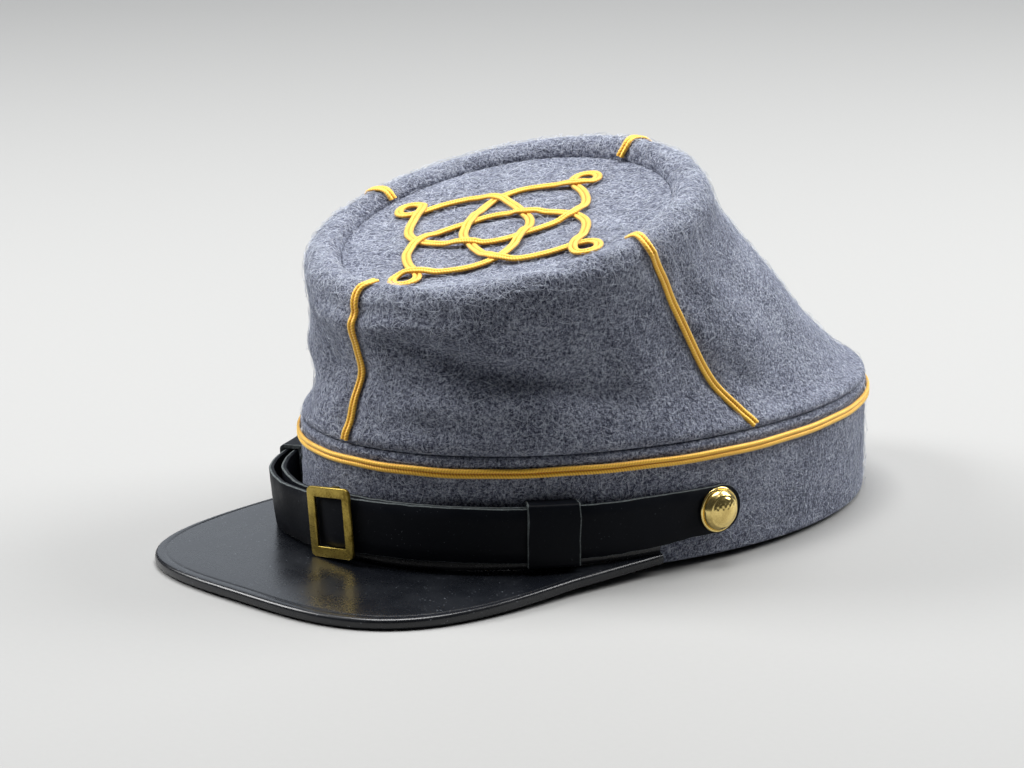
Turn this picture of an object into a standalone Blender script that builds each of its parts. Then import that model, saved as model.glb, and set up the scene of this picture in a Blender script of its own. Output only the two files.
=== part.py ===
"""A kepi: a soldier's cap of blue-grey wool with a round recessed top and a leather peak.

The cap is laid out in its sewing frame: the band's bottom rim lies in the plane z = 0, the
peak points along -Y and the wearer's left is +X. A turn is an angle round the head, 0 at
the front and 90 degrees at the wearer's left. At the end the whole cap is tipped back a
little, so that it stands on the peak's front corners and the back of the band.
"""

from math import asin, atan2, cos, degrees, pi, radians, sin, sqrt, tan

import bmesh
import bpy
import numpy as np
from mathutils import Matrix, Vector

MM = 0.001

# Gap between pieces that touch
CLEARANCE = 0.3 * MM

# Head band: an oval tube of doubled wool
HEAD_LENGTH = 216.0 * MM
HEAD_WIDTH = 154.2 * MM
BAND_HEIGHT = 38.6 * MM
BAND_WALL = 2.4 * MM

# Crown: cloth from the band's seam up to a round padded rim that leans forward
CROWN_WALL = 2.2 * MM
TOP_HEIGHT = 100.1 * MM
TOP_FORWARD = 37.8 * MM
TOP_LEAN = radians(15.4)
RIM_RADIUS = 61.2 * MM
ROLL_RADIUS = 6.3 * MM
ROLL_RISE = -1.5 * MM
ROLL_FOOT_INSET = 2.1 * MM
ROLL_START = radians(15)
ROLL_END = pi + asin(ROLL_RISE / ROLL_RADIUS)
ROLL_STEPS = 6
FOLD_DEPTH = 4.5 * MM

# Peak: one thick leather, with a crease near its edge
PEAK_REACH = 46.7 * MM
PEAK_WIDTH = 143.2 * MM
PEAK_THICKNESS = 3.4 * MM
PEAK_RISE = 1.8 * MM
PEAK_SLOPE = radians(3.1)
PEAK_DROOP = 1.6 * MM
PEAK_END_TURN = radians(69.2)
PEAK_END_WIDTH = 2.6 * MM
PEAK_SHOULDER = 33.0 * MM
PEAK_SQUARENESS = 3.3
PEAK_BORDER = 3.0 * MM
PEAK_BORDER_SINK = 0.25 * MM
PEAK_EDGE_ROUND = 1.0 * MM
# Share of the outline from the end to the shoulder, which is straight
PEAK_STRAIGHT = 0.25
# Most of the peak's depth that the border takes where the peak is narrow
PEAK_BORDER_MOST = 0.6

# Braid: a flat double cord
BRAID_WIDTH = 3.2 * MM
BRAID_HEIGHT = 1.5 * MM
BAND_BRAID_DROP = 4.9 * MM
# Gap below the seam braid, which bridges the two panels' slopes at the seam
SEAM_BRAID_GAP = 0.45 * MM
# Share of the first step up the crown at which the seam braid starts
SEAM_BRAID_START = 0.25
KNOT_REACH = 36.6 * MM
KNOT_LOOP_CENTRE = 41.8 * MM
KNOT_LOOP_RADIUS = 4.2 * MM
# The knot sits a little in front of the tip's middle, and to the wearer's left of it
KNOT_FORWARD = 4.9 * MM
KNOT_ASIDE = 0.9 * MM

# Chin strap: two leather straps, joined by a buckle and two keepers
STRAP_WIDTH = 17.6 * MM
STRAP_END_WIDTH = 15.8 * MM
STRAP_THICKNESS = 1.6 * MM
STRAP_BULGE = 4.0 * MM
STRAP_LEAN = 2.0 * MM
STRAP_SAG = 4.5 * MM
STRAP_STEP = 5.0 * MM
KEEPER_LENGTH = 16.0 * MM
KEEPER_WALL = 1.2 * MM
KEEPER_TURN = radians(47.9)

# Buckle: a rectangular brass frame with a bar behind the strap
BUCKLE_TURN = radians(0.2)
BUCKLE_WIDTH = 20.2 * MM
BUCKLE_RIM = 3.4 * MM
BUCKLE_THICKNESS = 1.2 * MM
BUCKLE_CORNER = 2.0 * MM
BUCKLE_SKEW = radians(3)
# How far the frame laps over the strap's edges, and the room from those edges to its legs
BUCKLE_LAP = 0.7 * MM
BUCKLE_ROOM = 0.6 * MM
# Share of the frame's rim beyond the strap that a leg fills
LEG_SHARE = 0.85
BAR_WIDTH = 2.4 * MM
BAR_THICKNESS = 1.0 * MM

# Buttons: domed brass on a plain shank
BUTTON_TURN = radians(80.5)
BUTTON_HEIGHT = 15.6 * MM
BUTTON_RADIUS = 7.5 * MM
BUTTON_DOME = 5.0 * MM
BUTTON_RIM = 0.8 * MM
SHANK_RADIUS = 1.4 * MM

# Mesh steps
BAND_STEPS = 64
PANEL_STEPS = 10
PEAK_HALF_STEPS = 18
KEEPER_STEPS = 3
# Short straight parts in each span of a smooth curve before it is spaced evenly
FINE_PARTS = 12
SMALL_ROUND = 16
# Angles round half of a rounded strap end, from its tip, in degrees
ROUND_END_ANGLES = (85, 65, 45, 22)

# Levels up the crown's side, as shares of the way from the seam to the rim, where cloth
# stands out from or sinks below a straight slope
LEVELS = (0.0, 0.08, 0.17, 0.28, 0.40, 0.52, 0.64, 0.76, 0.88, 1.0)

# Level from which the cloth's thickness is measured square to the slope
LEVEL_TURNED = 0.17

# Folds of the crown's side, as shares of FOLD_DEPTH, outwards positive.
# Columns: turn in degrees, then the standing at the level of each FOLD_LEVEL.
FOLD_LEVELS = (0.0, 0.10, 0.28, 0.50, 0.70, 0.88, 1.0)
FOLDS = (
    (0, -0.08, -0.28, -0.51, -0.93, -0.37, 0.44, 0.0),
    (45, -0.05, -0.05, 0.15, -0.75, -0.40, 0.10, 0.0),
    (90, -0.12, -0.70, -1.53, -1.30, -1.16, -0.37, 0.0),
    (135, 0.05, -0.55, -0.79, -0.53, -0.76, -0.75, 0.0),
    (180, 0.05, -0.50, -0.49, -0.40, -0.55, -0.60, 0.0),
    (225, 0.00, 0.10, -0.10, -0.25, -0.20, -0.15, 0.0),
    (270, -0.05, 0.10, -0.01, -0.15, 0.10, 0.14, 0.0),
    (315, -0.03, -0.74, -0.97, -0.25, -0.64, -0.31, 0.0),
)

# The chin strap's course round the front, from the wearer's left button to the right one.
# Columns: turn in degrees; share of a keeper's wall left between strap and band; bulge,
# as a share of STRAP_BULGE; layers of strap under the outer one; room for the buckle's bar,
# in bar thicknesses; lean of the bottom edge, as a share of STRAP_LEAN; sag, as a share of
# STRAP_SAG; narrowing, 0 at STRAP_WIDTH and 1 at STRAP_END_WIDTH.
COURSE = (
    (95, 0.0, 0.00, 1.0, 0.0, 0.0, 0.00, 1.00),
    (78, 0.0, 0.00, 1.0, 0.0, 0.0, 0.03, 1.00),
    (66, 0.5, 0.00, 1.0, 0.0, 0.0, 0.17, 0.20),
    (56, 1.0, 0.00, 1.0, 0.0, 0.2, 0.26, 0.05),
    (42, 1.0, 0.00, 1.0, 0.0, 0.5, 0.25, 0.00),
    (28, 0.8, 0.00, 1.0, 0.0, 0.5, 0.21, 0.00),
    (14, 0.5, 0.00, 1.0, 0.6, 0.3, 0.23, 0.00),
    (7, 0.4, 0.00, 1.0, 1.5, 0.1, 0.27, 0.00),
    (0, 0.3, 0.00, 1.0, 1.9, 0.0, 0.30, 0.00),
    (-6, 0.4, 0.00, 1.0, 1.9, -0.2, 0.55, 0.00),
    (-12, 0.4, 0.00, 1.0, 1.9, -0.3, 0.86, 0.00),
    (-23, 0.5, 0.56, 1.0, 2.6, -0.8, 0.94, 0.00),
    (-33, 0.8, 0.94, 1.0, 2.2, -1.0, 0.88, 0.00),
    (-41, 1.0, 0.62, 1.0, 1.3, -0.8, 0.66, 0.00),
    (-49, 1.0, 0.12, 1.0, 0.1, -0.2, 0.45, 0.00),
    (-60, 0.8, 0.00, 0.8, 0.0, 0.0, 0.30, 0.10),
    (-70, 0.3, 0.00, 0.1, 0.0, 0.0, 0.14, 0.50),
    (-78, 0.0, 0.00, 0.0, 0.0, 0.0, 0.03, 1.00),
    (-95, 0.0, 0.00, 0.0, 0.0, 0.0, 0.00, 1.00),
)

# One strand of the knot, from a corner's neck round the middle to the next neck.
# Columns: turn in degrees from the neck, distance as a share of KNOT_REACH. The second
# half mirrors the first.
KNOT_STRAND_TURN = 270
KNOT_STRAND = (
    (0, 1.000),
    (13, 0.925),
    (29, 0.840),
    (43, 0.720),
    (55, 0.580),
    (70, 0.440),
    (88, 0.345),
    (110, 0.312),
    (135, 0.302),
)
# Turns along a strand where it passes over another strand
KNOT_OVER = (0, 84, 225)
# Points round a corner's loop, in degrees from the side that the strand leaves the neck on
KNOT_LOOP_ANGLES = (-30, 20, 70, 110, 160, 210)
KNOT_STEP = 3.1 * MM
# Half the length of the hump where a strand passes over another, and the most guide rows
# that it spans
KNOT_HUMP = 6.0 * MM
KNOT_HUMP_ROWS = 3

# Section of the braid: across as a share of BRAID_WIDTH, out as a share of BRAID_HEIGHT
BRAID_SECTION = ((-0.50, 0.0), (0.50, 0.0), (0.42, 0.65), (0.0, 1.0), (-0.42, 0.65))

# Colours: red, green, blue, roughness, metallic
WOOL = (0.135, 0.155, 0.215, 0.95, 0.0)
GOLD_BRAID = (0.80, 0.42, 0.04, 0.60, 0.0)
BLACK_LEATHER = (0.012, 0.013, 0.016, 0.35, 0.0)
AGED_BRASS = (0.55, 0.40, 0.14, 0.35, 1.0)
BRIGHT_BRASS = (0.85, 0.62, 0.20, 0.22, 1.0)


# Smooth curves through tables

def smooth_row(places, rows, at):
    """Row of values at a place, on a curve through the rows that never overshoots them."""
    places = np.asarray(places, float)
    rows = np.asarray(rows, float)
    if places[0] > places[-1]:
        places = places[::-1]
        rows = rows[::-1]
    step = np.diff(places)[:, None]
    slope = np.diff(rows, axis=0) / step
    tangent = np.zeros_like(rows)
    before, after = slope[:-1], slope[1:]
    same_way = before * after > 0
    total = np.where(same_way, before + after, 1.0)
    tangent[1:-1] = np.where(same_way, 2 * before * after / total, 0.0)
    i = int(np.clip(np.searchsorted(places, at) - 1, 0, len(places) - 2))
    width = places[i + 1] - places[i]
    t = float(np.clip((at - places[i]) / width, 0, 1))
    start = (1 + 2 * t) * (1 - t) ** 2 * rows[i] + t * (1 - t) ** 2 * width * tangent[i]
    end = t * t * (3 - 2 * t) * rows[i + 1] + t * t * (t - 1) * width * tangent[i + 1]
    return start + end


def closed_curve(points, spacing):
    """Points spaced evenly on a smooth closed curve through the given points, each with its
    place along them: place 2.5 is half way from point 2 to point 3."""
    points = [Vector(p) for p in points]
    count = len(points)
    parts = FINE_PARTS
    fine = []
    for i in range(count):
        a, b, c, d = (points[(i + k) % count] for k in (-1, 0, 1, 2))
        for k in range(parts):
            t = k / parts
            fine.append(0.5 * ((2 * b) + (c - a) * t + (2 * a - 5 * b + 4 * c - d) * t * t
                               + (3 * b - a - 3 * c + d) * t ** 3))
    lengths = [0.0]
    for i in range(len(fine)):
        lengths.append(lengths[-1] + (fine[(i + 1) % len(fine)] - fine[i]).length)
    steps = round(lengths[-1] / spacing)
    even = []
    for k in range(steps):
        want = lengths[-1] * k / steps
        i = int(np.searchsorted(lengths, want, side="right")) - 1
        t = (want - lengths[i]) / (lengths[i + 1] - lengths[i])
        even.append((fine[i].lerp(fine[(i + 1) % len(fine)], t), (i + t) / parts))
    return even


# The cap's own surfaces

def oval(turn, out=0.0):
    """Point on the head oval, moved outwards by out, in the plane z = 0."""
    point = Vector((HEAD_WIDTH / 2 * sin(turn), -HEAD_LENGTH / 2 * cos(turn), 0))
    return point + oval_normal(turn) * out


def oval_normal(turn):
    """Outward direction of the head oval."""
    return Vector((sin(turn) * HEAD_LENGTH, -cos(turn) * HEAD_WIDTH, 0)).normalized()


def oval_turns_per_metre(turn):
    """How many radians of turn one metre along the head oval takes."""
    return 1 / sqrt((HEAD_WIDTH / 2 * cos(turn)) ** 2 + (HEAD_LENGTH / 2 * sin(turn)) ** 2)


def top_frame():
    """Frame of the crown's round top: its X is the wearer's left, its Z leaves the top."""
    return Matrix.Translation((0, -TOP_FORWARD, TOP_HEIGHT)) @ Matrix.Rotation(TOP_LEAN, 4, "X")


def on_top(turn, radius, height):
    """Point at a radius and height over the crown's round top."""
    return top_frame() @ Vector((radius * sin(turn), -radius * cos(turn), height))


def roll_point(turn, angle, out=0.0):
    """Point on the padded rim: angle 0 faces outwards, 90 degrees up, 180 inwards."""
    radius = ROLL_RADIUS + out
    return on_top(turn, RIM_RADIUS + radius * cos(angle), ROLL_RISE + radius * sin(angle))


def slope_point(turn, level):
    """Point on the straight slope from the band's seam to the rim."""
    seam = oval(turn) + Vector((0, 0, BAND_HEIGHT + CLEARANCE))
    return seam.lerp(roll_point(turn, ROLL_START), level)


def cloth_normal(turn, level):
    """Outward direction of the crown's cloth: level at the seam, square to the slope above."""
    step = 0.01
    along = slope_point(turn + step, level) - slope_point(turn - step, level)
    up = slope_point(turn, 1.0) - slope_point(turn, 0.0)
    square = along.cross(up).normalized()
    return oval_normal(turn).lerp(square, min(1.0, level / LEVEL_TURNED)).normalized()


def fold(turn, level):
    """How far the cloth stands out from the straight slope."""
    turns = [row[0] - 360 for row in FOLDS] + [row[0] for row in FOLDS]
    turns += [row[0] + 360 for row in FOLDS]
    rows = [row[1:] for row in FOLDS] * 3
    across = smooth_row(turns, rows, degrees(turn) % 360)
    return FOLD_DEPTH * float(smooth_row(FOLD_LEVELS, across[:, None], level)[0])


def crown_point(turn, level, out=0.0):
    """Point on the crown's side, moved outwards by out."""
    return slope_point(turn, level) + cloth_normal(turn, level) * (fold(turn, level) + out)


def roll_angles():
    """Angles round the padded rim, from the crown's side to the round top."""
    step = (ROLL_END - ROLL_START) / ROLL_STEPS
    return [ROLL_START + step * k for k in range(1, ROLL_STEPS + 1)]


def tip_radius():
    """Radius at which the padded rim meets the plane of the round top."""
    return RIM_RADIUS + ROLL_RADIUS * cos(ROLL_END)


# Builders of solids

def material(name, finish):
    """Principled material with the finish's colour, roughness and metallic value."""
    made = bpy.data.materials.new(name)
    made.use_nodes = True
    shader = made.node_tree.nodes["Principled BSDF"]
    shader.inputs["Base Color"].default_value = (*finish[:3], 1)
    shader.inputs["Roughness"].default_value = finish[3]
    shader.inputs["Metallic"].default_value = finish[4]
    made.diffuse_color = (*finish[:3], 1)
    return made


def add_object(name, mesh_edit, finish, smooth_angle=40):
    """Object from an edited mesh, with its faces turned outwards and its own material."""
    bmesh.ops.recalc_face_normals(mesh_edit, faces=mesh_edit.faces)
    mesh = bpy.data.meshes.new(name)
    mesh_edit.to_mesh(mesh)
    mesh_edit.free()
    mesh.shade_smooth()
    mesh.set_sharp_from_angle(angle=radians(smooth_angle))
    mesh.materials.append(material(name, finish))
    made = bpy.data.objects.new(name, mesh)
    bpy.context.collection.objects.link(made)
    return made


def grid_faces(mesh_edit, grid, around=False, across=False):
    """Quads over a grid of vertices, joined round in either direction where asked."""
    rows = len(grid)
    columns = len(grid[0])
    for i in range(rows if around else rows - 1):
        for j in range(columns if across else columns - 1):
            k = (i + 1) % rows
            m = (j + 1) % columns
            mesh_edit.faces.new((grid[i][j], grid[k][j], grid[k][m], grid[i][m]))


def wall(name, outer, inner, finish, around=False):
    """Closed wall between two grids of points that face each other."""
    edit = bmesh.new()
    grids = [[[edit.verts.new(p) for p in row] for row in grid] for grid in (outer, inner)]
    front, back = grids
    grid_faces(edit, front, around)
    grid_faces(edit, back, around)
    for j in (0, -1):
        grid_faces(edit, [[a[j], b[j]] for a, b in zip(front, back)], around)
    if not around:
        for i in (0, -1):
            grid_faces(edit, [[a, b] for a, b in zip(front[i], back[i])])
    return add_object(name, edit, finish)


def tube(name, rings, finish, around=False):
    """Closed solid through rings of points, with flat ends unless it runs around."""
    edit = bmesh.new()
    grid = [[edit.verts.new(p) for p in ring] for ring in rings]
    grid_faces(edit, grid, around, across=True)
    if not around:
        edit.faces.new(grid[0])
        edit.faces.new(grid[-1])
    return add_object(name, edit, finish)


def turned(name, profile, steps, finish):
    """Solid of revolution about Z, from a profile of radius and height, axis to axis."""
    edit = bmesh.new()
    turns = [2 * pi * k / steps for k in range(steps)]
    grid = [[edit.verts.new((r * cos(t), r * sin(t), z)) for r, z in profile] for t in turns]
    grid_faces(edit, grid, around=True)
    bmesh.ops.remove_doubles(edit, verts=edit.verts, dist=0.0001 * MM)
    return add_object(name, edit, finish)


def braid(name, points, normals, around=False):
    """Flat double cord laid along points, with its flat side against the cloth."""
    rings = []
    last = len(points) - 1
    for i, (point, normal) in enumerate(zip(points, normals)):
        before = points[i - 1] if around else points[max(i - 1, 0)]
        after = points[(i + 1) % len(points)] if around else points[min(i + 1, last)]
        side = normal.cross(after - before).normalized()
        rings.append([point + side * BRAID_WIDTH * across + normal * BRAID_HEIGHT * out
                      for across, out in BRAID_SECTION])
    return tube(name, rings, GOLD_BRAID, around)


# Cloth pieces

def make_band():
    """Oval head band, open above and below."""
    outer = []
    inner = []
    for k in range(BAND_STEPS):
        turn = 2 * pi * k / BAND_STEPS
        top = Vector((0, 0, BAND_HEIGHT))
        outer.append([oval(turn), oval(turn) + top])
        inner.append([oval(turn, -BAND_WALL), oval(turn, -BAND_WALL) + top])
    return wall("band", outer, inner, WOOL, around=True)


def make_crown_panel(name, first_turn):
    """Quarter of the crown's side, with its quarter of the padded rim."""
    half_gap = CLEARANCE / 2
    outer = []
    inner = []
    for k in range(PANEL_STEPS + 1):
        turn = first_turn + pi / 2 * k / PANEL_STEPS
        inset = Vector()
        if k in (0, PANEL_STEPS):
            middle = first_turn + pi / 4
            sideways = Vector((cos(turn), sin(turn), 0))
            inset = sideways * (half_gap if middle > turn else -half_gap)
        outside = [crown_point(turn, level) for level in LEVELS]
        inside = [crown_point(turn, level, -CROWN_WALL) for level in LEVELS[:-1]]
        angles = roll_angles()
        foot = RIM_RADIUS + ROLL_FOOT_INSET
        inside.append(on_top(turn, foot, -CROWN_WALL))
        for i, angle in enumerate(angles):
            share = (i + 1) / len(angles)
            outside.append(roll_point(turn, angle))
            inside.append(on_top(turn, foot + (tip_radius() - foot) * share, -CROWN_WALL))
        outside[-1] = on_top(turn, tip_radius(), 0)
        outer.append([p + inset for p in outside])
        inner.append([p + inset for p in inside])
    return wall(name, outer, inner, WOOL)


def make_crown_top():
    """Recessed round tip inside the padded rim."""
    edge = tip_radius() - CLEARANCE
    profile = [(0, 0), (edge / 2, 0), (edge, 0), (edge, -CROWN_WALL), (0, -CROWN_WALL)]
    tip = turned("crown_top", profile, 4 * PANEL_STEPS, WOOL)
    tip.matrix_world = top_frame()
    return tip


# Braid

def make_band_braid():
    """Braid round the band, below the crown's seam."""
    turns = [2 * pi * k / BAND_STEPS for k in range(BAND_STEPS)]
    height = Vector((0, 0, BAND_HEIGHT - BAND_BRAID_DROP))
    points = [oval(turn, CLEARANCE) + height for turn in turns]
    return braid("band_braid", points, [oval_normal(turn) for turn in turns], around=True)


def make_seam_braid(name, turn):
    """Braid over one crown seam, from the band up over the rim."""
    points = []
    normals = []
    for level in LEVELS:
        points.append(crown_point(turn, level, SEAM_BRAID_GAP))
        normals.append(cloth_normal(turn, level))
    points[0] = points[0].lerp(points[1], SEAM_BRAID_START)
    for angle in roll_angles()[:-1]:
        points.append(roll_point(turn, angle, CLEARANCE))
        spoke = roll_point(turn, angle) - roll_point(turn, angle, -ROLL_RADIUS)
        normals.append(spoke.normalized())
    return braid(name, points, normals)


def knot_guide():
    """Points of the endless knot on the flat top, and each place where it passes over."""
    strand = list(KNOT_STRAND) + [(KNOT_STRAND_TURN - turn, share)
                                  for turn, share in reversed(KNOT_STRAND[:-1])]
    guide = []
    over = []
    for quarter in range(4):
        start = -quarter * pi / 2
        for turn in KNOT_OVER:
            index = np.interp(turn, [row[0] for row in strand], range(len(strand)))
            over.append(len(guide) + float(index))
        for turn, share in strand:
            heading = start + radians(turn)
            guide.append(Vector((sin(heading), -cos(heading), 0)) * share * KNOT_REACH)
        neck = start + radians(KNOT_STRAND_TURN)
        outwards = Vector((sin(neck), -cos(neck), 0))
        sideways = Vector((cos(neck), sin(neck), 0))
        for angle in KNOT_LOOP_ANGLES:
            spoke = outwards * sin(radians(angle)) + sideways * cos(radians(angle))
            guide.append(outwards * KNOT_LOOP_CENTRE + spoke * KNOT_LOOP_RADIUS)
    return guide, over


def make_top_knot_braid():
    """Quatrefoil of one endless braid on the tip, passing over and under itself in turn."""
    guide, over = knot_guide()
    curve = closed_curve(guide, KNOT_STEP)
    points = []
    for point, place in curve:
        lift = 0.0
        for crossing in over:
            away = abs(place - crossing)
            away = min(away, len(guide) - away)
            if away < KNOT_HUMP_ROWS:
                spot = min(curve, key=lambda c: abs(c[1] - crossing))[0]
                share = max(0.0, 1 - ((point - spot).length / KNOT_HUMP) ** 2)
                lift = max(lift, min(1.0, 1.5 * share))
        height = CLEARANCE + lift * (BRAID_HEIGHT + CLEARANCE)
        points.append(point + Vector((0, 0, height)))
    knot = braid("top_knot_braid", points, [Vector((0, 0, 1))] * len(points), around=True)
    knot.matrix_world = top_frame() @ Matrix.Translation((KNOT_ASIDE, -KNOT_FORWARD, 0))
    return knot


# Chin strap

def course(turn):
    """The chin strap's row of values at a turn, without the turn itself."""
    return [float(v) for v in smooth_row([r[0] for r in COURSE], [r[1:] for r in COURSE], degrees(turn))]


def strap_edge(turn, share_up, out):
    """Point on the strap's course: share_up 0 is its bottom edge and 1 its top edge."""
    lean, sag, narrowing = course(turn)[4:]
    width = STRAP_WIDTH + (STRAP_END_WIDTH - STRAP_WIDTH) * narrowing
    bottom_out = lean * STRAP_LEAN
    height = sqrt(width ** 2 - bottom_out ** 2)
    middle = BUTTON_HEIGHT - sag * STRAP_SAG
    place = oval(turn, out + bottom_out * max(0.0, 1 - share_up))
    return place + Vector((0, 0, middle + height * (share_up - 0.5)))


def inner_face(turn):
    """Distance from the band to the inner strap's inner face."""
    keeper_share, bulge = course(turn)[:2]
    return CLEARANCE + keeper_share * (KEEPER_WALL + CLEARANCE) + bulge * STRAP_BULGE


def outer_face(turn):
    """Distance from the band to the outer strap's inner face."""
    layers, bar_room = course(turn)[2:4]
    return inner_face(turn) + layers * (STRAP_THICKNESS + CLEARANCE) + bar_room * BAR_THICKNESS


def make_strap(name, face, button_turn, far_turn):
    """Strap leather from its rounded end at a button to its square end in a keeper."""
    way = 1 if far_turn > button_turn else -1
    half = STRAP_END_WIDTH / 2
    stations = []
    for angle in ROUND_END_ANGLES:
        back = half * sin(radians(angle))
        turn = button_turn - way * back * oval_turns_per_metre(button_turn)
        stations.append((turn, cos(radians(angle))))
    length = abs(far_turn - button_turn) / oval_turns_per_metre(KEEPER_TURN)
    steps = round(length / STRAP_STEP)
    for k in range(steps + 1):
        stations.append((button_turn + (far_turn - button_turn) * k / steps, 1.0))
    outer = []
    inner = []
    for turn, fullness in stations:
        low = 0.5 - fullness / 2
        high = 0.5 + fullness / 2
        near = face(turn)
        outer.append([strap_edge(turn, s, near + STRAP_THICKNESS) for s in (low, high)])
        inner.append([strap_edge(turn, s, near) for s in (low, high)])
    strap = wall(name, outer, inner, BLACK_LEATHER)
    cut = strap.modifiers.new("button hole", "BOOLEAN")
    cut.operation = "DIFFERENCE"
    cut.object = make_hole_cutter(name + "_hole", button_turn)
    return strap


def make_hole_cutter(name, turn):
    """Guide cylinder for the hole that a button's shank passes through."""
    edit = bmesh.new()
    radius = SHANK_RADIUS + CLEARANCE
    bmesh.ops.create_cone(edit, cap_ends=True, segments=SMALL_ROUND, radius1=radius,
                          radius2=radius, depth=6 * STRAP_THICKNESS)
    cutter = add_object(name, edit, BLACK_LEATHER)
    cutter.matrix_world = button_frame(turn)
    cutter.hide_render = True
    cutter.display_type = "WIRE"
    return cutter


def make_keeper(name, turn):
    """Leather sleeve round both straps."""
    half = KEEPER_LENGTH / 2 * oval_turns_per_metre(turn)
    outer = []
    inner = []
    margin = CLEARANCE / STRAP_WIDTH
    shoulder = (CLEARANCE + KEEPER_WALL) / STRAP_WIDTH
    for k in range(KEEPER_STEPS + 1):
        at = turn - half + 2 * half * k / KEEPER_STEPS
        near = inner_face(at) - CLEARANCE
        far = outer_face(at) + STRAP_THICKNESS + CLEARANCE
        corners = ((-1, near, 0), (-1, far, 1), (1, far, 1), (1, near, 0))
        inside = []
        outside = []
        for side, out, outwards in corners:
            up = 0.5 + side * 0.5
            inside.append(strap_edge(at, up + side * margin, out))
            thicker = out + (KEEPER_WALL if outwards else -KEEPER_WALL)
            outside.append(strap_edge(at, up + side * shoulder, thicker))
        inner.append(inside)
        outer.append(outside)
    edit = bmesh.new()
    front = [[edit.verts.new(p) for p in ring] for ring in outer]
    back = [[edit.verts.new(p) for p in ring] for ring in inner]
    grid_faces(edit, front, across=True)
    grid_faces(edit, back, across=True)
    for i in (0, -1):
        grid_faces(edit, [front[i], back[i]], across=True)
    return add_object(name, edit, BLACK_LEATHER)


# Metal

def strap_frame(turn, width):
    """Frame on the outer strap's outer face, square to its chord over a width: X along the
    strap, Y up its width, Z outwards."""
    half = width / 2 * oval_turns_per_metre(turn)
    before, after = (strap_edge(at, 0.5, outer_face(at) + STRAP_THICKNESS)
                     for at in (turn - half, turn + half))
    out = outer_face(turn) + STRAP_THICKNESS
    up = strap_edge(turn, 1, out) - strap_edge(turn, 0, out)
    x = (after - before).normalized()
    z = x.cross(up).normalized()
    y = z.cross(x)
    return Matrix.Translation((before + after) / 2) @ Matrix((x, y, z)).transposed().to_4x4()


def make_buckle():
    """Brass frame over the strap, with a bar behind the strap joined above and below it."""
    window = STRAP_WIDTH - 2 * BUCKLE_LAP
    height = window + 2 * BUCKLE_RIM
    leg_inside = STRAP_WIDTH / 2 + BUCKLE_ROOM
    leg = (height / 2 - leg_inside) * LEG_SHARE
    width = BUCKLE_WIDTH
    lift = 2 * CLEARANCE
    edit = bmesh.new()

    def block(size, centre):
        made = bmesh.ops.create_cube(edit, size=1)
        bmesh.ops.scale(edit, vec=size, verts=made["verts"])
        bmesh.ops.translate(edit, vec=centre, verts=made["verts"])
        return made["verts"]

    plate = block((width, height, BUCKLE_THICKNESS), (0, 0, lift + BUCKLE_THICKNESS / 2))
    upright = [e for e in {e for v in plate for e in v.link_edges}
               if abs(e.verts[0].co.z - e.verts[1].co.z) > BUCKLE_THICKNESS / 2]
    bmesh.ops.bevel(edit, geom=upright, offset=BUCKLE_CORNER, segments=3, affect="EDGES",
                    profile=0.5)
    frame = add_object("buckle", edit, AGED_BRASS)
    edit = bmesh.new()
    block((width - 2 * BUCKLE_RIM, window, 4 * BUCKLE_THICKNESS), (0, 0, lift))
    opening = add_object("buckle_window", edit, AGED_BRASS)
    edit = bmesh.new()
    bar_top = -STRAP_THICKNESS - CLEARANCE
    depth = lift + BUCKLE_THICKNESS / 2 - bar_top + BAR_THICKNESS
    leg_middle = lift + BUCKLE_THICKNESS / 2 - depth / 2
    block((BAR_WIDTH, 2 * leg_inside + leg, BAR_THICKNESS), (0, 0, bar_top - BAR_THICKNESS / 2))
    bar = add_object("buckle_bar", edit, AGED_BRASS)
    legs = []
    for side in (-1, 1):
        edit = bmesh.new()
        block((BAR_WIDTH, leg, depth), (0, side * (leg_inside + leg / 2), leg_middle))
        legs.append(add_object(f"buckle_leg_{side + 1}", edit, AGED_BRASS))
    for guide, operation in ((opening, "DIFFERENCE"), (bar, "UNION"), (legs[0], "UNION"),
                             (legs[1], "UNION")):
        step = frame.modifiers.new(guide.name, "BOOLEAN")
        step.operation = operation
        step.object = guide
        guide.hide_render = True
        guide.display_type = "WIRE"
        guide.parent = frame
    chord = strap_frame(BUCKLE_TURN, width - 2 * BUCKLE_RIM)
    frame.matrix_world = chord @ Matrix.Rotation(BUCKLE_SKEW, 4, "Z")
    return frame


def button_frame(turn):
    """Frame on the strap's outer face at a button, with Z outwards."""
    z = oval_normal(turn)
    y = Vector((0, 0, 1))
    x = y.cross(z)
    centre = oval(turn, CLEARANCE + STRAP_THICKNESS) + y * BUTTON_HEIGHT
    return Matrix.Translation(centre) @ Matrix((x, y, z)).transposed().to_4x4()


def make_button(name, turn):
    """Domed button with a rolled rim, on a shank through the strap's end."""
    seat = CLEARANCE
    rim = BUTTON_RIM
    dome_radius = BUTTON_RADIUS - rim
    profile = [(0, -STRAP_THICKNESS), (SHANK_RADIUS, -STRAP_THICKNESS), (SHANK_RADIUS, seat),
               (BUTTON_RADIUS - rim / 2, seat), (BUTTON_RADIUS, seat + rim / 2),
               (BUTTON_RADIUS - rim / 2, seat + rim)]
    for angle in (8, 30, 52, 72, 90):
        height = seat + rim + (BUTTON_DOME - rim) * sin(radians(angle))
        profile.append((dome_radius * cos(radians(angle)), height))
    profile[-1] = (0, profile[-1][1])
    button = turned(name, profile, SMALL_ROUND, BRIGHT_BRASS)
    button.matrix_world = button_frame(turn)
    return button


# Peak

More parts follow.
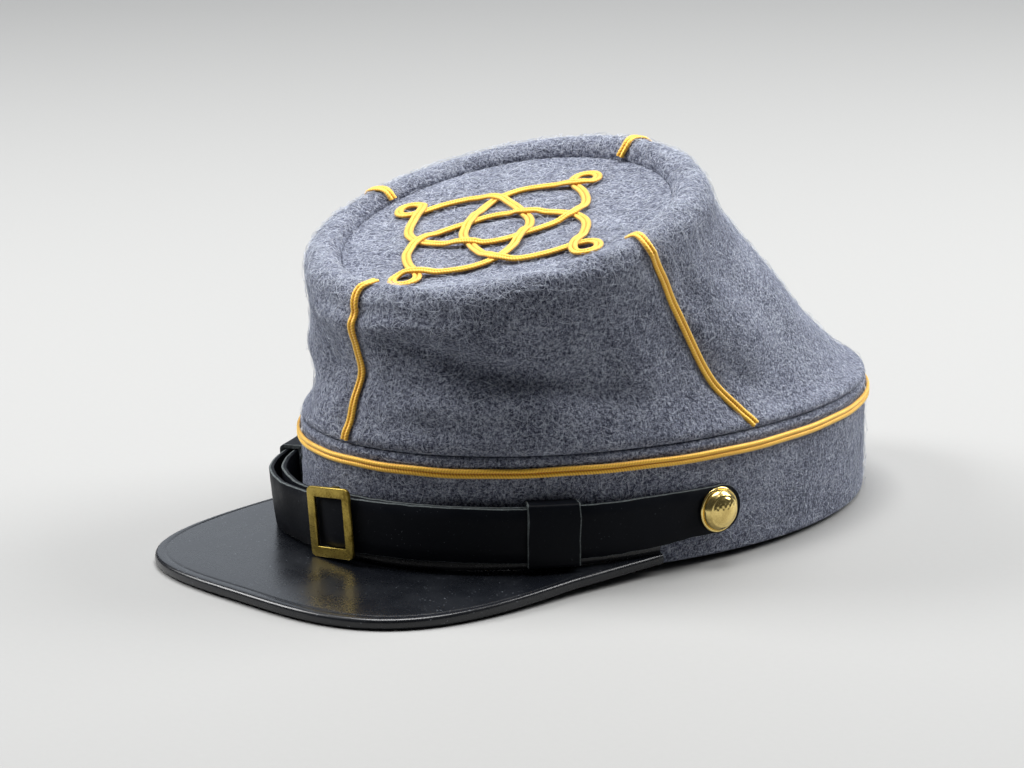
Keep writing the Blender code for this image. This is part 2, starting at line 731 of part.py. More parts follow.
def peak_height(point):
    """Height of the peak's upper face over the plane of the band's bottom rim."""
    forward = -point.y - HEAD_LENGTH / 2
    across = point.x / (PEAK_WIDTH / 2)
    return PEAK_RISE - tan(PEAK_SLOPE) * forward - PEAK_DROOP * across * across


def peak_outline(share):
    """Point on the outer edge of one half, from its end at the band to the centre front."""
    end = oval(PEAK_END_TURN, PEAK_END_WIDTH)
    shoulder = Vector((PEAK_WIDTH / 2, -HEAD_LENGTH / 2 + PEAK_SHOULDER, 0))
    if share < PEAK_STRAIGHT:
        return end.lerp(shoulder, share / PEAK_STRAIGHT)
    angle = pi / 2 * (share - PEAK_STRAIGHT) / (1 - PEAK_STRAIGHT)
    power = 2 / PEAK_SQUARENESS
    length = PEAK_SHOULDER + PEAK_REACH
    return Vector((PEAK_WIDTH / 2 * max(cos(angle), 0) ** power,
                   shoulder.y - length * sin(angle) ** power, 0))


def make_peak():
    """Leather visor, butted against the band, with a border crease and a rounded edge."""
    upper = []
    lower = []
    for k in range(-PEAK_HALF_STEPS, PEAK_HALF_STEPS + 1):
        share = 1 - abs(k) / PEAK_HALF_STEPS
        mirror = Matrix.Diagonal((1 if k >= 0 else -1, 1, 1))
        inner_edge = oval(PEAK_END_TURN * (1 - share), CLEARANCE)
        outer_edge = peak_outline(share)
        run = outer_edge - inner_edge
        inset = min(PEAK_BORDER / run.length, PEAK_BORDER_MOST)
        rim = PEAK_EDGE_ROUND / run.length * min(1, run.length / PEAK_BORDER)
        over = []
        under = []
        for at, drop, rise in ((0, 0, 0), (0.5 * (1 - inset), 0, 0), (1 - inset, PEAK_BORDER_SINK, 0),
                               (1 - rim, 0, 0), (1, PEAK_EDGE_ROUND, PEAK_EDGE_ROUND)):
            point = inner_edge + run * at
            top = peak_height(point)
            over.append(mirror @ (point + Vector((0, 0, top - drop))))
            under.append(mirror @ (point + Vector((0, 0, top - PEAK_THICKNESS + rise))))
        upper.append(over)
        lower.append(under)
    peak = wall("peak", upper, lower, BLACK_LEATHER)
    return peak, [p for row in lower for p in row]


# The whole cap

def stand_on_floor(cap, lowest_points):
    """Tip the cap back until the peak's front corners and the band's back touch the floor,
    and bring the middle of its box to the origin."""
    back = HEAD_LENGTH / 2
    pitch = max(atan2(-p.z, back - p.y) for p in lowest_points)
    cap.rotation_euler.x = -pitch
    bpy.context.view_layer.update()
    graph = bpy.context.evaluated_depsgraph_get()
    corners = []
    for piece in cap.children_recursive:
        if piece.hide_render:
            continue
        shown = piece.evaluated_get(graph)
        corners += [shown.matrix_world @ v.co for v in shown.data.vertices]
    low = Vector([min(c[i] for c in corners) for i in range(3)])
    high = Vector([max(c[i] for c in corners) for i in range(3)])
    cap.location = -Vector(((low.x + high.x) / 2, (low.y + high.y) / 2, low.z))
    bpy.context.view_layer.update()


def build():
    """Make every piece and stand the cap on the floor."""
    for old in list(bpy.data.objects):
        bpy.data.objects.remove(old, do_unlink=True)
    cap = bpy.data.objects.new("kepi", None)
    bpy.context.collection.objects.link(cap)
    peak, lowest_points = make_peak()
    keeper_reach = KEEPER_LENGTH / 4 * oval_turns_per_metre(KEEPER_TURN)
    pieces = [
        make_band(),
        make_crown_panel("crown_front_left", 0),
        make_crown_panel("crown_back_left", pi / 2),
        make_crown_panel("crown_back_right", pi),
        make_crown_panel("crown_front_right", 3 * pi / 2),
        make_crown_top(),
        peak,
        make_band_braid(),
        make_seam_braid("seam_braid_front", 0),
        make_seam_braid("seam_braid_left", pi / 2),
        make_seam_braid("seam_braid_back", pi),
        make_seam_braid("seam_braid_right", 3 * pi / 2),
        make_top_knot_braid(),
        make_strap("strap_inner", inner_face, BUTTON_TURN, -KEEPER_TURN - keeper_reach),
        make_strap("strap_outer", outer_face, -BUTTON_TURN, KEEPER_TURN + keeper_reach),
        make_keeper("keeper_left", KEEPER_TURN),
        make_keeper("keeper_right", -KEEPER_TURN),
        make_buckle(),
        make_button("button_left", BUTTON_TURN),
        make_button("button_right", -BUTTON_TURN),
    ]
    for piece in pieces:
        piece.parent = cap
    for guide in bpy.data.objects:
        if guide.hide_render and guide.parent is None:
            guide.parent = cap
    stand_on_floor(cap, lowest_points)


build()
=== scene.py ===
"""Looks of a kepi cap: heathered wool, golden braid, black leather and brass.

Every piece is laid out in the cap's sewing frame, in which the band's bottom rim lies in the
plane z = 0, the peak points along -Y and the wearer's left is +X. A turn is an angle round the
head, 0 at the front and 90 degrees at the wearer's left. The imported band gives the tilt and
place at which the cap stands, and each piece's own matrix carries it there.
"""

from math import asin, atan2, cos, hypot, pi, radians, sin

import bmesh
import bpy
import numpy as np
from bpy.props import FloatProperty, FloatVectorProperty, IntProperty, PointerProperty
from mathutils import Matrix, Vector


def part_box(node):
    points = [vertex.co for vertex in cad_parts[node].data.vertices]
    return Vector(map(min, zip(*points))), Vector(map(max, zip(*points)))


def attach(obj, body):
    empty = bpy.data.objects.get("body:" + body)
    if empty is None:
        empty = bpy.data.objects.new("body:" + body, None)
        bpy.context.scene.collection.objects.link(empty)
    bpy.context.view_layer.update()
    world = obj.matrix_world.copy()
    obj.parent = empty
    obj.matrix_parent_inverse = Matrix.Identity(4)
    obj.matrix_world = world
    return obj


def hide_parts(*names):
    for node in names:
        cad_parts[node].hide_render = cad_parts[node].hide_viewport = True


bl_info = {
    "name": "Kepi cap",
    "version": (1, 0, 0),
    "blender": (4, 5, 0),
    "location": "3D View > Sidebar > Kepi",
    "description": "Builds the visible pieces of a kepi cap and its stage",
    "category": "Add Mesh",
}

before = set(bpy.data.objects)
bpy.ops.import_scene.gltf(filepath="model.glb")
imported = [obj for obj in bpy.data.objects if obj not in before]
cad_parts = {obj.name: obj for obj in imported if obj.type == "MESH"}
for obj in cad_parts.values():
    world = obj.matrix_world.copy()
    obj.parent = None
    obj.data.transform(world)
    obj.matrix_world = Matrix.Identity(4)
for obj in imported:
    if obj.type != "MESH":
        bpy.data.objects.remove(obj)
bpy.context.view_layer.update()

MM = 0.001

# Sizes that the pieces share with the solids

CLEARANCE = 0.3 * MM
HEAD_LENGTH = 216.0 * MM
HEAD_WIDTH = 154.2 * MM
BAND_HEIGHT = 38.6 * MM
BAND_WALL = 2.4 * MM
CROWN_WALL = 2.2 * MM
TOP_HEIGHT = 100.1 * MM
TOP_FORWARD = 37.8 * MM
TOP_LEAN = radians(15.4)
RIM_RADIUS = 61.2 * MM
ROLL_RADIUS = 6.3 * MM
ROLL_RISE = -1.5 * MM
ROLL_FOOT_INSET = 2.1 * MM
ROLL_START = radians(15)
ROLL_END = pi + asin(ROLL_RISE / ROLL_RADIUS)
FOLD_DEPTH = 4.5 * MM
PEAK_REACH = 46.7 * MM
PEAK_WIDTH = 143.2 * MM
PEAK_THICKNESS = 3.4 * MM
PEAK_RISE = 1.8 * MM
PEAK_SLOPE = radians(3.1)
PEAK_DROOP = 1.6 * MM
PEAK_END_TURN = radians(69.2)
PEAK_END_WIDTH = 2.6 * MM
PEAK_SHOULDER = 33.0 * MM
PEAK_SQUARENESS = 3.3
PEAK_STRAIGHT = 0.25
BAND_BRAID_DROP = 4.9 * MM
KNOT_REACH = 36.6 * MM
KNOT_LOOP_CENTRE = 41.8 * MM
KNOT_LOOP_RADIUS = 4.2 * MM
KNOT_OFF_CENTRE = (0.9 * MM, -4.9 * MM)
STRAP_WIDTH = 17.6 * MM
STRAP_END_WIDTH = 15.8 * MM
STRAP_THICKNESS = 1.6 * MM
STRAP_BULGE = 4.0 * MM
STRAP_LEAN = 2.0 * MM
STRAP_SAG = 4.5 * MM
KEEPER_LENGTH = 16.0 * MM
KEEPER_WALL = 1.2 * MM
KEEPER_TURN = radians(47.9)
BAR_THICKNESS = 1.0 * MM
BUTTON_TURN = radians(80.5)
BUTTON_HEIGHT = 15.6 * MM
BUTTON_RADIUS = 7.5 * MM
BUTTON_DOME = 5.0 * MM
BUTTON_RIM = 0.8 * MM
SHANK_RADIUS = 1.4 * MM

# Level up to which the crown's cloth turns from upright to square to its slope
LEVEL_TURNED = 0.17

# Sizes that only the looks have

SEAM_BRAID_GAP = 0.35 * MM
STRAP_END_REACH = 1.7 * MM
STRAP_CELL = 1.5 * MM
STRAP_RAGGED = 0.0045
KEEPER_RAGGED = 0.35 * MM
KEEPER_BULGE = 0.25 * MM
BUTTON_LIP = 0.5 * MM
BUTTON_WEAVE = 0.30 * MM
BUTTON_WEAVE_HEIGHT = 0.05 * MM
PEAK_ROUND = 1.1 * MM
PEAK_INNER_LIFT = 0.6 * MM
FIBRE_STAND = 1.3 * MM
BUCKLE_BEVEL = 0.3 * MM
FLOOR_DROP = 0.2 * MM

# Fineness of the meshes, as counts of steps, parts or smoothing rounds

BAND_STEPS = 288
BAND_BRAID_STEPS = 720
PANEL_STEPS = 56
TIP_STEPS = 160
PEAK_STEPS = 90
BUTTON_STEPS = 96
FIBRE_KNOTS = 4
KNOT_PARTS = 24
KNOT_SMOOTHING = 40

# Points round each of the cord's two lobes: the side on which the lobe lies, and angles in
# degrees from the cord's right side.
CORD_SECTION = ((1, (-5, 30, 65, 100, 135, 170)), (-1, (10, 45, 80, 115, 150, 185)))

# Folds of the crown's side, as shares of FOLD_DEPTH, outwards positive.
# Columns: turn in degrees, then the standing at the level of each FOLD_LEVEL.
FOLD_LEVELS = (0.0, 0.10, 0.28, 0.50, 0.70, 0.88, 1.0)
FOLDS = (
    (0, -0.08, -0.28, -0.51, -0.93, -0.37, 0.44, 0.0),
    (45, -0.05, -0.05, 0.15, -0.75, -0.40, 0.10, 0.0),
    (90, -0.12, -0.70, -1.53, -1.30, -1.16, -0.37, 0.0),
    (135, 0.05, -0.55, -0.79, -0.53, -0.76, -0.75, 0.0),
    (180, 0.05, -0.50, -0.49, -0.40, -0.55, -0.60, 0.0),
    (225, 0.00, 0.10, -0.10, -0.25, -0.20, -0.15, 0.0),
    (270, -0.05, 0.10, -0.01, -0.15, 0.10, 0.14, 0.0),
    (315, -0.03, -0.74, -0.97, -0.25, -0.64, -0.31, 0.0),
)

# Soft dents and swells that the cloth has on top of its folds.
# Columns: turn in degrees, level, half width in degrees, half height in levels, slant of the
# long axis in levels per degree, depth in millimetres with outwards positive.
DENTS = (
    (38, 0.57, 23, 0.10, -0.0085, -4.8),
    (18, 0.75, 12, 0.10, 0.000, -1.5),
    (62, 0.33, 7, 0.10, 0.000, -2.0),
    (20, 0.36, 12, 0.11, 0.000, 1.3),
    (45, 0.13, 20, 0.08, 0.000, 1.6),
    (73, 0.66, 8, 0.13, 0.000, 1.2),
    (350, 0.50, 8, 0.14, 0.000, -2.3),
    (99, 0.22, 5, 0.10, 0.000, -1.4),
    (97, 0.78, 4, 0.14, 0.000, -1.0),
    (75, 0.30, 6, 0.22, 0.000, 1.2),
    (102, 0.45, 7, 0.30, 0.010, 1.4),
    (118, 0.62, 8, 0.30, -0.006, -1.2),
    (128, 0.30, 10, 0.18, 0.004, 1.1),
    (150, 0.45, 12, 0.25, 0.004, -1.3),
    (172, 0.60, 9, 0.22, 0.000, 0.9),
    (205, 0.45, 14, 0.20, 0.005, -1.3),
    (240, 0.55, 12, 0.25, -0.005, 1.2),
    (300, 0.45, 15, 0.12, 0.004, -1.6),
    (322, 0.70, 14, 0.10, 0.000, 0.9),
    (346, 0.20, 10, 0.10, 0.000, 1.5),
)

# Where the padded rim stands higher or lower over the round top.
# Columns: turn in degrees, half width in degrees, share of its height.
ROLL_SWELLS = ((-105, 50, -0.38), (38, 45, 0.32))

# The chin strap's course round the front.
# Columns: turn in degrees; share of a keeper's wall between strap and band; bulge; layers
# under the outer strap; room for the buckle's bar; lean of the bottom edge; sag; narrowing.
COURSE = (
    (-95, 0.0, 0.00, 0.0, 0.0, 0.0, 0.00, 1.00),
    (-78, 0.0, 0.00, 0.0, 0.0, 0.0, 0.03, 1.00),
    (-70, 0.3, 0.00, 0.1, 0.0, 0.0, 0.14, 0.50),
    (-60, 0.8, 0.00, 0.8, 0.0, 0.0, 0.30, 0.10),
    (-49, 1.0, 0.12, 1.0, 0.1, -0.2, 0.45, 0.00),
    (-41, 1.0, 0.62, 1.0, 1.3, -0.8, 0.66, 0.00),
    (-33, 0.8, 0.94, 1.0, 2.2, -1.0, 0.88, 0.00),
    (-23, 0.5, 0.56, 1.0, 2.6, -0.8, 0.94, 0.00),
    (-12, 0.4, 0.00, 1.0, 1.9, -0.3, 0.86, 0.00),
    (-6, 0.4, 0.00, 1.0, 1.9, -0.2, 0.55, 0.00),
    (0, 0.3, 0.00, 1.0, 1.9, 0.0, 0.30, 0.00),
    (7, 0.4, 0.00, 1.0, 1.5, 0.1, 0.27, 0.00),
    (14, 0.5, 0.00, 1.0, 0.6, 0.3, 0.23, 0.00),
    (28, 0.8, 0.00, 1.0, 0.0, 0.5, 0.21, 0.00),
    (42, 1.0, 0.00, 1.0, 0.0, 0.5, 0.25, 0.00),
    (56, 1.0, 0.00, 1.0, 0.0, 0.2, 0.26, 0.05),
    (66, 0.5, 0.00, 1.0, 0.0, 0.0, 0.17, 0.20),
    (78, 0.0, 0.00, 1.0, 0.0, 0.0, 0.03, 1.00),
    (95, 0.0, 0.00, 1.0, 0.0, 0.0, 0.00, 1.00),
)

# One strand of the knot, from a corner's neck round the middle to the next neck.
# Columns: turn in degrees from the neck, distance as a share of KNOT_REACH. The second
# half mirrors the first.
KNOT_STRAND_TURN = 270
KNOT_STRAND = ((0, 1.000), (13, 0.925), (29, 0.840), (43, 0.720), (55, 0.580), (70, 0.440),
               (88, 0.345), (110, 0.312), (135, 0.302))
KNOT_OVER = (0, 84, 225)
KNOT_LOOP_ANGLES = (-30, 20, 70, 110, 160, 210)
KNOT_HUMP = 6.0 * MM

# Soft lights, stronger from the cap's right and back than from its left front.
# Columns: name, azimuth and elevation in degrees, distance, width, height, power in watts.
LIGHTS = (
    ("key", 222.0, 79.0, 1.5, 0.9, 0.9, 32.0),
    ("left", -58.0, 38.0, 1.5, 0.7, 0.7, 21.0),
    ("right", 158.0, 36.0, 1.5, 0.8, 0.8, 22.0),
    ("back", 226.0, 17.0, 2.4, 1.9, 1.1, 5.6),
)
LAMP_TINTS = {"back": (0.84, 0.91, 1.0)}
LAMP_AIM_HEIGHT = 60.0 * MM
SKY_COLOUR = (0.93, 0.95, 1.0, 1)
SKY_STRENGTH = 0.06

# The camera looks at a point this high on the cap's middle line, and this far off it.
VIEW_HEIGHT = 61.8 * MM
VIEW_RIGHT = 25.74 * MM
VIEW_UP = 20.76 * MM
SENSOR_WIDTH = 36.0


class KepiSizes(bpy.types.PropertyGroup):
    """Sizes of the surface detail"""
    braid_width: FloatProperty(
        name="Braid width", description="Width of the flat double cord",
        default=3.2 * MM, min=0.5 * MM, subtype="DISTANCE", unit="LENGTH")
    braid_height: FloatProperty(
        name="Braid height", description="How far the cord stands out from the cloth",
        default=1.5 * MM, min=0.2 * MM, subtype="DISTANCE", unit="LENGTH")
    braid_pitch: FloatProperty(
        name="Thread pitch", description="Length of cord from one wrapped thread to the next",
        default=0.95 * MM, min=0.3 * MM, subtype="DISTANCE", unit="LENGTH")
    seam_valley: FloatProperty(
        name="Seam valley", description="Depth to which the crown's seams pull the cloth in",
        default=0.8 * MM, min=0.0, subtype="DISTANCE", unit="LENGTH")
    crown_puff: FloatProperty(
        name="Crown puff", description="How far the crown's foot stands out over the band seam",
        default=1.1 * MM, min=0.0, subtype="DISTANCE", unit="LENGTH")
    cloth_ripple: FloatProperty(
        name="Cloth ripple", description="Height of the cloth's small unevenness",
        default=0.35 * MM, min=0.0, subtype="DISTANCE", unit="LENGTH")
    fibre_length: FloatProperty(
        name="Fibre length", description="Length of the stray wool fibres",
        default=6.5 * MM, min=1.0 * MM, subtype="DISTANCE", unit="LENGTH")
    fibre_radius: FloatProperty(
        name="Fibre radius", description="Radius of a stray wool fibre at its middle",
        default=0.065 * MM, min=0.01 * MM, subtype="DISTANCE", unit="LENGTH")
    crown_fibres: IntProperty(
        name="Crown fibres", description="Number of stray fibres on the crown's side",
        default=7000, min=0)
    crease_depth: FloatProperty(
        name="Peak crease", description="Depth of the line pressed along the peak's border",
        default=0.18 * MM, min=0.0, subtype="DISTANCE", unit="LENGTH")
    crease_inset: FloatProperty(
        name="Crease inset", description="Distance from the peak's edge to the pressed line",
        default=3.6 * MM, min=1.0 * MM, subtype="DISTANCE", unit="LENGTH")


class KepiColours(bpy.types.PropertyGroup):
    """Colours of the cloth, braid, leather and metal"""
    wool_dark: FloatVectorProperty(
        name="Wool dark", description="Darkest fibres of the wool",
        default=(0.036, 0.040, 0.063), size=3, subtype="COLOR", min=0.0, max=1.0)
    wool_middle: FloatVectorProperty(
        name="Wool", description="Main tone of the wool",
        default=(0.212, 0.229, 0.296), size=3, subtype="COLOR", min=0.0, max=1.0)
    wool_pale: FloatVectorProperty(
        name="Wool pale", description="Palest fibres of the wool",
        default=(0.64, 0.68, 0.77), size=3, subtype="COLOR", min=0.0, max=1.0)
    braid_gold: FloatVectorProperty(
        name="Braid", description="Lit threads of the braid",
        default=(1.0, 0.61, 0.058), size=3, subtype="COLOR", min=0.0, max=1.0)
    # Painted shade: the braid's colour between its threads and down its sides.
    braid_painted_shade: FloatVectorProperty(
        name="Braid shade", description="Depths between the braid's threads",
        default=(0.66, 0.25, 0.010), size=3, subtype="COLOR", min=0.0, max=1.0)
    leather: FloatVectorProperty(
        name="Leather", description="Finished face of the black leather",
        default=(0.0042, 0.0052, 0.0078), size=3, subtype="COLOR", min=0.0, max=1.0)
    leather_edge: FloatVectorProperty(
        name="Leather edge", description="Cut edge of the leather",
        default=(0.070, 0.081, 0.083), size=3, subtype="COLOR", min=0.0, max=1.0)
    brass_aged: FloatVectorProperty(
        name="Aged brass", description="Brass of the buckle",
        default=(0.40, 0.295, 0.065), size=3, subtype="COLOR", min=0.0, max=1.0)
    brass_bright: FloatVectorProperty(
        name="Bright brass", description="Brass of the buttons",
        default=(0.93, 0.72, 0.27), size=3, subtype="COLOR", min=0.0, max=1.0)


class KepiStage(bpy.types.PropertyGroup):
    """Camera and floor"""
    azimuth: FloatProperty(
        name="Azimuth", description="Camera's direction from the cap's front, to its left",
        default=radians(46.88), subtype="ANGLE", unit="ROTATION")
    elevation: FloatProperty(
        name="Elevation", description="Camera's angle above the band's rim",
        default=radians(13.4), subtype="ANGLE", unit="ROTATION")
    roll: FloatProperty(
        name="Roll", description="Camera's turn about its own line of sight",
        default=radians(-0.12), subtype="ANGLE", unit="ROTATION")
    distance: FloatProperty(
        name="Distance", description="Camera's distance from the middle of its view",
        default=1.4149, min=0.2, subtype="DISTANCE", unit="LENGTH")
    lens: FloatProperty(
        name="Lens", description="Focal length on a 36 mm wide sensor",
        default=148.75, min=10.0, subtype="DISTANCE_CAMERA", unit="CAMERA")
    floor_size: FloatProperty(
        name="Floor size", description="Side of the pale floor",
        default=12.0, min=1.0, subtype="DISTANCE", unit="LENGTH")
    floor_colour: FloatVectorProperty(
        name="Floor", description="Colour of the floor",
        default=(0.33, 0.33, 0.325), size=3, subtype="COLOR", min=0.0, max=1.0)


# Curves through tables, and directions

def curve_through(places, rows, at):
    """Values at places on curves through rows of values, which never overshoot them."""
    places = np.asarray(places, float)
    at = np.asarray(at, float)
    rows = np.broadcast_to(np.asarray(rows, float), at.shape + (len(places),))
    step = np.diff(places)
    slope = np.diff(rows, axis=-1) / step
    before, after = slope[..., :-1], slope[..., 1:]
    same_way = before * after > 0
    total = np.where(same_way, before + after, 1.0)
    tangent = np.zeros_like(rows)
    tangent[..., 1:-1] = np.where(same_way, 2 * before * after / total, 0.0)
    index = np.clip(np.searchsorted(places, at) - 1, 0, len(places) - 2)
    width = step[index]
    t = np.clip((at - places[index]) / width, 0, 1)

    def take(values, offset):
        return np.take_along_axis(values, (index + offset)[..., None], -1)[..., 0]

    start = (1 + 2 * t) * (1 - t) ** 2 * take(rows, 0) + t * (1 - t) ** 2 * width * take(tangent, 0)
    end = t * t * (3 - 2 * t) * take(rows, 1) + t * t * (t - 1) * width * take(tangent, 1)
    return start + end


def unit(vectors):
    """Vectors scaled to length 1."""
    return vectors / np.linalg.norm(vectors, axis=-1, keepdims=True)


def stack(x, y, z):
    """Points from arrays of coordinates."""
    return np.stack(np.broadcast_arrays(x, y, z), axis=-1)


def wave_field(turn, way, waves):
    """Gentle unevenness: a sum of waves, each with a count round, a count along, a phase and
    a height."""
    total = 0.0
    for around, along, phase, height in waves:
        total = total + height * np.sin(around * turn + along * way + phase)
    return total


def bell(distance, width):
    """Smooth bump of height 1 that fades over a width."""
    return np.exp(-(distance / width) ** 2)


# The cap's own surfaces

def oval_normal(turn):
    """Outward direction of the head oval."""
    return unit(stack(np.sin(turn) * HEAD_LENGTH, -np.cos(turn) * HEAD_WIDTH, 0.0 * turn))


def oval(turn, out=0.0, height=0.0):
    """Point on the head oval, moved outwards and up."""
    turn = np.asarray(turn, float)
    flat = stack(HEAD_WIDTH / 2 * np.sin(turn), -HEAD_LENGTH / 2 * np.cos(turn), 0.0 * turn)
    lifted = flat + oval_normal(turn) * np.asarray(out)[..., None]
    return lifted + stack(0.0, 0.0, np.asarray(height, float))


def metres_per_turn(turn):
    """Length of head oval that one radian of turn covers."""
    return np.hypot(HEAD_WIDTH / 2 * np.cos(turn), HEAD_LENGTH / 2 * np.sin(turn))


TOP_AXES = np.array(((1, 0, 0), (0, cos(TOP_LEAN), sin(TOP_LEAN)),
                     (0, -sin(TOP_LEAN), cos(TOP_LEAN))))
TOP_MIDDLE = np.array((0, -TOP_FORWARD, TOP_HEIGHT))


def from_top(x, y, z):
    """Point given in the frame of the crown's round top."""
    return stack(x, y, z) @ TOP_AXES + TOP_MIDDLE


def on_top(turn, radius, height):
    """Point at a radius and height over the crown's round top."""
    return from_top(radius * np.sin(turn), -radius * np.cos(turn), height)


def roll_point(turn, angle, out=0.0):
    """Point on the padded rim: angle 0 faces outwards, 90 degrees up, 180 inwards."""
    radius = ROLL_RADIUS + out
    height = ROLL_RISE + radius * np.sin(angle)
    swell = 1.0
    for at, wide, share in ROLL_SWELLS:
        across = (np.degrees(turn) - at + 180) % 360 - 180
        swell = swell + share * bell(across, wide)
    height = np.where(height > 0, height * swell, height)
    return on_top(turn, RIM_RADIUS + radius * np.cos(angle), height)


def slope_point(turn, level):
    """Point on the straight slope from the band's seam to the rim."""
    seam = oval(turn, 0.0, BAND_HEIGHT + CLEARANCE)
    return seam + (roll_point(turn, ROLL_START) - seam) * np.asarray(level)[..., None]


def slope_normal(turn, level):
    """Outward direction of the crown's cloth: level at the seam, square to the slope above."""
    step = 0.01
    along = slope_point(turn + step, level) - slope_point(turn - step, level)
    up = slope_point(turn, np.ones_like(level)) - slope_point(turn, np.zeros_like(level))
    square = unit(np.cross(along, up))
    share = np.minimum(1.0, level / LEVEL_TURNED)[..., None]
    return unit(oval_normal(turn) * (1 - share) + square * share)


def fold(turn, level):
    """How far the crown's folds stand out from the straight slope."""
    turns = [row[0] + 360 * lap for lap in (-1, 0, 1) for row in FOLDS]
    rows = np.array([row[1:] for row in FOLDS] * 3).T
    at = np.degrees(turn) % 360
    across = curve_through(turns, rows, np.repeat(at[..., None], len(FOLD_LEVELS), axis=-1))
    return FOLD_DEPTH * curve_through(FOLD_LEVELS, across, level)


def from_seam(turn):
    """Distance along the cloth from the nearest crown seam."""
    quarter = pi / 2
    nearest = np.abs((turn + quarter / 2) % quarter - quarter / 2)
    return nearest * metres_per_turn(turn) * 0.8


def relief(turn, level, sizes):
    """Dents, seam valleys, the puff over the band and the cloth's unevenness."""
    degrees = np.degrees(turn) % 360
    total = np.zeros_like(degrees)
    for at, height, wide, high, slant, depth in DENTS:
        across = (degrees - at + 180) % 360 - 180
        along = level - height - slant * across
        total = total + depth * MM * bell(across, wide) * bell(along, high)
    seam = from_seam(turn)
    fade = np.clip(level / 0.05, 0, 1)
    total = total - sizes.seam_valley * bell(seam, 2.6 * MM) * fade
    total = total + 0.45 * sizes.seam_valley * bell(seam - 7 * MM, 4 * MM) * fade
    slope_length = np.linalg.norm(slope_point(turn, np.ones_like(level)) - slope_point(turn, 0 * level),
                                  axis=-1)
    above = level * slope_length
    total = total - 0.9 * MM * np.exp(-above / (0.7 * MM))
    total = total + sizes.crown_puff * bell(above - 3.2 * MM, 3.0 * MM)
    waves = ((5, 9, 0.4, 0.5), (9, 5, 1.9, 0.4), (13, 14, 3.3, 0.3), (21, 11, 5.1, 0.22),
             (17, -19, 2.2, 0.2))
    return total + sizes.cloth_ripple * wave_field(turn, level, waves) * np.clip(level / 0.1, 0, 1)


def skin(turn, way, sizes, out=0.0):
    """Point and outward direction on the crown's outer skin. A way from 0 to 1 climbs from
    the band's seam to the rim, and from 1 to 2 goes over the padded rim to the round top."""
    turn, way = np.broadcast_arrays(np.asarray(turn, float), np.asarray(way, float))
    level = np.clip(way, 0, 1)
    over = np.clip(way - 1, 0, 1)
    settle = 1 - np.clip((level - 0.92) / 0.08, 0, 1) ** 2
    side_normal = slope_normal(turn, level)
    height = fold(turn, level) + relief(turn, level, sizes) * settle + out
    side = slope_point(turn, level) + side_normal * height[..., None]
    angle = ROLL_START + (ROLL_END - ROLL_START) * over
    waves = ((11, 3, 0.7, 0.5), (19, 5, 2.1, 0.35), (31, 4, 4.0, 0.3))
    lump = sizes.cloth_ripple * wave_field(turn, over * 3, waves) * np.sin(pi * over)
    dip = sizes.seam_valley * 0.7 * bell(from_seam(turn), 2.4 * MM) * np.sin(pi * over)
    roll = roll_point(turn, angle, lump - dip + out)
    spoke = unit(roll_point(turn, angle) - roll_point(turn, angle, -ROLL_RADIUS))
    climbing = (way <= 1)[..., None]
    blend = np.clip((level - 0.85) / 0.15, 0, 1)[..., None]
    side_normal = unit(side_normal * (1 - blend) + spoke * blend)
    return np.where(climbing, side, roll), np.where(climbing, side_normal, spoke)


def tip_radius():
    """Radius at which the padded rim meets the plane of the round top."""
    return RIM_RADIUS + ROLL_RADIUS * cos(ROLL_END)


def rest_matrix():
    """Tilt and place at which the cap stands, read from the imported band."""
    low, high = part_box("band")
    tilt = asin((high.z - low.z) / hypot(HEAD_LENGTH, BAND_HEIGHT)) - atan2(BAND_HEIGHT, HEAD_LENGTH)
    back = high.y - cos(tilt) * HEAD_LENGTH / 2 - sin(tilt) * BAND_HEIGHT
    lift = low.z + sin(tilt) * HEAD_LENGTH / 2
    return Matrix.Translation((0, back, lift)) @ Matrix.Rotation(-tilt, 4, "X")


REST = rest_matrix()


# Builders of meshes

def quads(rows, columns, first=0, around=False, across=False):
    """Faces over a grid of points that are numbered row by row."""
    faces = []
    for i in range(rows if around else rows - 1):
        k = (i + 1) % rows
        for j in range(columns if across else columns - 1):
            m = (j + 1) % columns
            faces.append((first + i * columns + j, first + k * columns + j,
                          first + k * columns + m, first + i * columns + m))
    return faces


def reshape(mesh, change):
    """Let a function change a mesh's points, edges and faces."""
    edit = bmesh.new()
    edit.from_mesh(mesh)
    change(edit)
    edit.to_mesh(mesh)
    edit.free()


def store(mesh, name, values):
    """Keep one value for each point of a mesh, for its material."""
    layer = mesh.attributes.new(name, "FLOAT", "POINT")
    layer.data.foreach_set("value", values)


def placed(name, mesh):
    """Object at the cap's place and on its body."""
    made = bpy.data.objects.new(name, mesh)
    bpy.context.scene.collection.objects.link(made)
    made.matrix_world = REST
    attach(made, "root")
    return made


def piece(name, points, faces, materials, replaced, sharp, face_slots=None):
    """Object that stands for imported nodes, with the angle from which its edges are sharp."""
    mesh = bpy.data.meshes.new(name)
    mesh.from_pydata(np.asarray(points).reshape(-1, 3).tolist(), [], faces)
    if face_slots is not None:
        mesh.polygons.foreach_set("material_index", np.asarray(face_slots, dtype=np.int32))
    reshape(mesh, lambda edit: bmesh.ops.recalc_face_normals(edit, faces=edit.faces))
    mesh.shade_smooth()
    if sharp:
        mesh.set_sharp_from_angle(angle=radians(sharp))
    for material in materials:
        mesh.materials.append(material)
    made = placed(name, mesh)
    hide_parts(*replaced)
    return made


